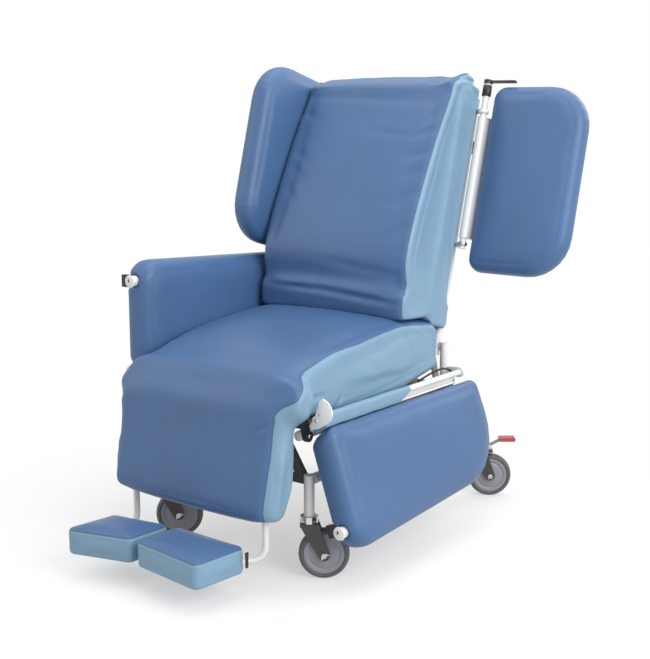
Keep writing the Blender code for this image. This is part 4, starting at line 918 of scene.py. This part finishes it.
# Rings on a wing's post: name, place along it, radius, height, finish and slot
WING_RINGS = [("cap", 0.700, 0.0125, 0.030, BLACK, "black_plastic"),
              ("collar", 0.652, 0.0140, 0.009, WHITE, "white_tube"),
              ("foot_collar", 0.284, 0.0130, 0.010, STEEL, "steel")]
RING_BORE, RING_EDGE = 0.0092, 0.001


def wing_details(side):
    """Dark cap under the wing's lever and the collars on its post."""
    up = BACK_TURN @ Vector((0, 0, 1))
    for name, along, radius, height, mat, slot_name in WING_RINGS:
        ring = [(RING_BORE, 0.0), (radius - RING_EDGE, 0.0), (radius, RING_EDGE),
                (radius, height - RING_EDGE), (radius - RING_EDGE, height), (RING_BORE, height)]
        foot = back_point(SIDES[side] * WING_POST_ACROSS, WING_POST_BEHIND, along)
        obj = lathe(f"wing_{name}_{side}", ring, foot, up, mat, SMALL_ROUND_STEPS)
        place(crisp(obj, 50), "back", slot_name)


# The end plate of the arm's hinge, as (across, up), and its bolts with their radius
PLATE_ALONG, PLATE_DEPTH = -0.4365, 0.005
PLATE_SHAPE = [(0.274, 0.392), (0.282, 0.385), (0.300, 0.390), (0.324, 0.404), (0.337, 0.416), (0.342, 0.430),
               (0.338, 0.446), (0.328, 0.458), (0.314, 0.464), (0.305, 0.458), (0.300, 0.444), (0.292, 0.420)]
PLATE_BOLTS = [(0.303, 0.446, 0.0034), (0.306, 0.426, 0.0040), (0.296, 0.409, 0.0050)]
PLATE_BOLT_HEIGHT = 0.0018
BUTTON_RADIUS, BUTTON_HEIGHT, BUTTON_SINK = 0.0168, 0.0030, 0.0002
# The button's slot is no hollow but a thin dark sheet of painted shade on its face: its place, half sizes and
# thickness
SLOT_PLACE = Vector((-0.003, -0.0026, 0.002))  # from the middle of the button's face
SLOT_HALF_WIDE, SLOT_HALF_HIGH, SLOT_SHADE_THICKNESS = 0.0024, 0.0046, 0.0008
BUSH_ACROSS, BUSH_ALONG, BUSH_RADIUS, BUSH_HEIGHT = 0.2699, -0.433, 0.0052, 0.0026
RIGHT, UP, FORWARD = (1, 0, 0), (0, 0, 1), (0, -1, 0)


def arm_details(side):
    """Button face with a thin dark sheet painted as the shade inside its slot, the bolted end plate and the
    bolt of the bush at the knee.
    """
    sign = SIDES[side]
    across, _, up = middle_of("arm_button_" + side)
    face = Vector((across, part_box("arm_button_" + side)[0][1] - BUTTON_SINK, up))
    cap = disc("button_face_" + side, face, FORWARD, BUTTON_RADIUS, BUTTON_HEIGHT, WHITE_PLASTIC)
    place(cap, "button_" + side, "white_plastic")
    # Painted shade: a thin near-black sheet on the button's face stands in for the hollow of its slot
    hole = slab("button_slot_shade_" + side, oval(SLOT_HALF_WIDE, SLOT_HALF_HIGH), face + SLOT_PLACE, RIGHT, UP,
                SLOT_SHADE_THICKNESS, PAINTED_SLOT_SHADE, bevel=0.0002)
    place(hole, "button_" + side, "black_plastic")
    origin = SHIFT + Vector((0.0, PLATE_ALONG, 0.0))
    outline = [(sign * u, v) for u, v in PLATE_SHAPE]
    plate = slab("end_plate_" + side, outline, origin, RIGHT, UP, PLATE_DEPTH, WHITE)
    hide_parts("arm_plate_" + side)
    place(plate, "base", "white_tube")
    for k, (u, v, radius) in enumerate(PLATE_BOLTS):
        spot = origin + Vector((sign * u, -PLATE_DEPTH, v))
        head = disc(f"plate_bolt_{side}_{k}", spot, FORWARD, radius, PLATE_BOLT_HEIGHT, STEEL)
        place(head, "base", "steel")
    bush = Vector((SHIFT.x + sign * BUSH_ACROSS, SHIFT.y + BUSH_ALONG, middle_of("seat_rail_" + side)[2]))
    place(disc("bush_bolt_" + side, bush, (sign, 0, 0), BUSH_RADIUS, BUSH_HEIGHT, STEEL), "base", "steel")


# Cover of the arm's hinge tube: wall, front end, and rear end with how far it runs off
SLEEVE_WALL, SLEEVE_FRONT = 0.0018, -0.414
SLEEVE_REAR, SLEEVE_RUN, SLEEVE_RUN_REACH = -0.020, 0.150, 0.045
SLEEVE_STEPS, SLEEVE_EDGE_PARTS, SLEEVE_SHORT_EDGE = 36, 4, 0.004
SLEEVE_WAVE = 0.0008
PAST_SEAM = 0.05  # far enough past a seam to be light blue all over


def arm_sleeve(side):
    """Pale cover sewn round the arm's hinge tube; its rear end runs off slantwise."""
    tube = NODES["arm_frame_" + side].data
    turns = [k * pi / 6 for k in range(12)]
    around = [Vector((v.co.x + SLEEVE_WALL * cos(a), v.co.z + SLEEVE_WALL * sin(a)))
              for v in tube.vertices for a in turns]
    hull = [around[k] for k in convex_hull_2d(around)]
    ring = []
    for one, two in zip(hull, hull[1:] + hull[:1]):
        parts = SLEEVE_EDGE_PARTS if (one - two).length > SLEEVE_SHORT_EDGE else 1
        ring += [one.lerp(two, t / SLEEVE_EDGE_PARTS) for t in range(parts)]
    hinge = JOINTS["arm_drop_" + side]["pos_m"]
    pivot = Vector((hinge[0], hinge[2]))
    middle = sum(ring, Vector((0.0, 0.0))) / len(ring)
    verts = []
    for k in range(SLEEVE_STEPS + 1):
        for spot in ring:
            reach = (spot - pivot).length
            stop = SLEEVE_REAR - SLEEVE_RUN * min(1.0, reach / SLEEVE_RUN_REACH)
            y = SLEEVE_FRONT + (stop - SLEEVE_FRONT) * k / SLEEVE_STEPS
            wave = SLEEVE_WAVE * sin(70 * y + 40 * reach) * sin(23 * y)
            out = spot + (spot - middle).normalized() * wave
            verts.append((out.x, SHIFT.y + y, out.y))
    n = len(ring)
    faces = [tuple(range(n)), tuple(range(len(verts) - 1, len(verts) - n - 1, -1))]
    faces += [(r * n + k, r * n + (k + 1) % n, (r + 1) * n + (k + 1) % n, (r + 1) * n + k)
              for r in range(SLEEVE_STEPS) for k in range(n)]
    obj = crisp(piece("arm_sleeve_" + side, verts, faces, VINYL), 50)
    set_seam(obj, np.full(len(verts), PAST_SEAM))
    return place(obj, "arm_" + side, "vinyl_light")


# Dark tab on the hanger of the left foot pad, as (along, up)
FOOT_TAB_SHAPE = [(-0.004, -0.022), (0.004, -0.022), (0.005, 0.016), (-0.005, 0.016)]
FOOT_TAB_PLACE, FOOT_TAB_DEPTH = Vector((0.2085, -0.594, 0.098)), 0.004
WHITE_NODES = ("front_post", "base_rail", "seat_rail", "rear_upright", "back_post", "wing_post", "wing_hinge",
               "arm_frame", "foot_hanger")
BOARD_NODES = ("seat_board", "back_panel", "legrest_board")

for end in ("front", "rear"):
    for side in SIDES:
        castor_wheel(f"{end}_{side}")
        castor_finish(f"{end}_{side}")
for side in SIDES:
    paint(WHITE, *(f"{name}_{side}" for name in WHITE_NODES))
    paint(TAUPE, "front_brace_" + side)
    paint(BLACK, "legrest_bracket_" + side, "arm_catch_" + side, "wing_lever_" + side)
    paint(WHITE_PLASTIC, "arm_button_" + side)
    pedal_finish(side)
    arm_details(side)
    wing_details(side)
    arm_sleeve(side)
    soften(EDGE_BREAK, "front_brace_" + side, "legrest_bracket_" + side, "arm_catch_" + side,
           "wing_lever_" + side)
paint(TAUPE, "front_cross_bar", "rear_cross_bar")
soften(EDGE_BREAK, "front_cross_bar", "rear_cross_bar", "recline_lever", *BOARD_NODES)
release_cable()
tab = slab("foot_tab", FOOT_TAB_SHAPE, SHIFT + FOOT_TAB_PLACE, (0, 1, 0), UP, FOOT_TAB_DEPTH, BLACK)
place(tab, "foot_left", "black_plastic")
paint(BOARD, *BOARD_NODES)
paint(BLACK, "push_handle", "gas_spring_cylinder")
paint(STEEL, "gas_spring_rod")
paint(GREY_PAINT, "recline_lever")


# Stage and light
def open_view(nodes, links):
    """1 for the rays that see the white backdrop: the camera's, reflected ones and those through glass."""
    path = nodes.new("ShaderNodeLightPath")
    total = path.outputs["Is Camera Ray"]
    for name in ("Is Glossy Ray", "Is Transmission Ray"):
        either = nodes.new("ShaderNodeMath")
        either.operation = "MAXIMUM"
        links.new(total, either.inputs[0])
        links.new(path.outputs[name], either.inputs[1])
        total = either.outputs[0]
    return total


FLOOR_HALF = 9
FLOOR_GREY, FLOOR_SEEN = (0.55, 0.55, 0.55), (0.94, 0.94, 0.94)
# The floor turns into the white backdrop between two distances, from one share of glow to another
FADE_FROM, FADE_TO, GLOW_NEAR, GLOW_FAR = 0.55, 1.2, 0.45, 1.0
WORLD_LIGHT, WORLD_SEEN = 0.55, 1.0
# Lamps: name, place, size and power
LAMPS = [("key", (3.2, -0.7, 2.2), 2.4, 92.0), ("fill", (-2.6, -2.2, 2.2), 2.4, 20.0),
         ("top", (0.0, 0.2, 3.4), 2.6, 40.0), ("rear", (0.8, 2.8, 2.4), 2.0, 24.0)]
LAMP_AIM = Vector((0.0, 0.0, 0.6))


def add_floor():
    """Pale floor that takes the chair's shadow and fades into the backdrop."""
    mesh = bpy.data.meshes.new("floor")
    corners = [(FLOOR_HALF * x, FLOOR_HALF * y, 0) for x, y in ((-1, -1), (1, -1), (1, 1), (-1, 1))]
    mesh.from_pydata(corners, [], [(0, 1, 2, 3)])
    floor = bpy.data.objects.new("floor", mesh)
    COLLECTION.objects.link(floor)
    mat, nodes, links, shader = new_material("pale_floor")
    shader.inputs["Roughness"].default_value = 0.9
    seen = open_view(nodes, links)
    links.new(mixed(nodes, links, seen, FLOOR_GREY, FLOOR_SEEN), shader.inputs["Base Color"])
    reach = nodes.new("ShaderNodeVectorMath")
    reach.operation = "LENGTH"
    links.new(nodes.new("ShaderNodeTexCoord").outputs["Object"], reach.inputs[0])
    glow = nodes.new("ShaderNodeEmission")
    fade = nodes.new("ShaderNodeMath")
    fade.operation = "MULTIPLY"
    distance = reach.outputs["Value"]
    links.new(span(nodes, links, distance, FADE_FROM, FADE_TO, GLOW_NEAR, GLOW_FAR), fade.inputs[0])
    links.new(seen, fade.inputs[1])
    join = nodes.new("ShaderNodeMixShader")
    links.new(fade.outputs[0], join.inputs["Fac"])
    links.new(shader.outputs["BSDF"], join.inputs[1])
    links.new(glow.outputs["Emission"], join.inputs[2])
    links.new(join.outputs["Shader"], nodes["Material Output"].inputs["Surface"])
    mesh.materials.append(mat)


def add_world():
    """White backdrop that lights the chair less than it shows."""
    world = bpy.data.worlds.new("studio")
    SCENE.world = world
    world.use_nodes = True
    nodes, links = world.node_tree.nodes, world.node_tree.links
    lit = nodes.new("ShaderNodeMapRange")
    lit.inputs["To Min"].default_value = WORLD_LIGHT
    lit.inputs["To Max"].default_value = WORLD_SEEN
    links.new(open_view(nodes, links), lit.inputs["Value"])
    nodes["Background"].inputs["Color"].default_value = (1.0, 1.0, 1.0, 1.0)
    links.new(lit.outputs["Result"], nodes["Background"].inputs["Strength"])


def add_lamps():
    for name, spot, size, power in LAMPS:
        lamp = bpy.data.lights.new(name, "AREA")
        lamp.size = size
        lamp.energy = power
        obj = bpy.data.objects.new(name, lamp)
        COLLECTION.objects.link(obj)
        obj.location = spot
        aim = LAMP_AIM - obj.location
        obj.rotation_euler = aim.to_track_quat("-Z", "Y").to_euler()


add_floor()
add_world()
add_lamps()
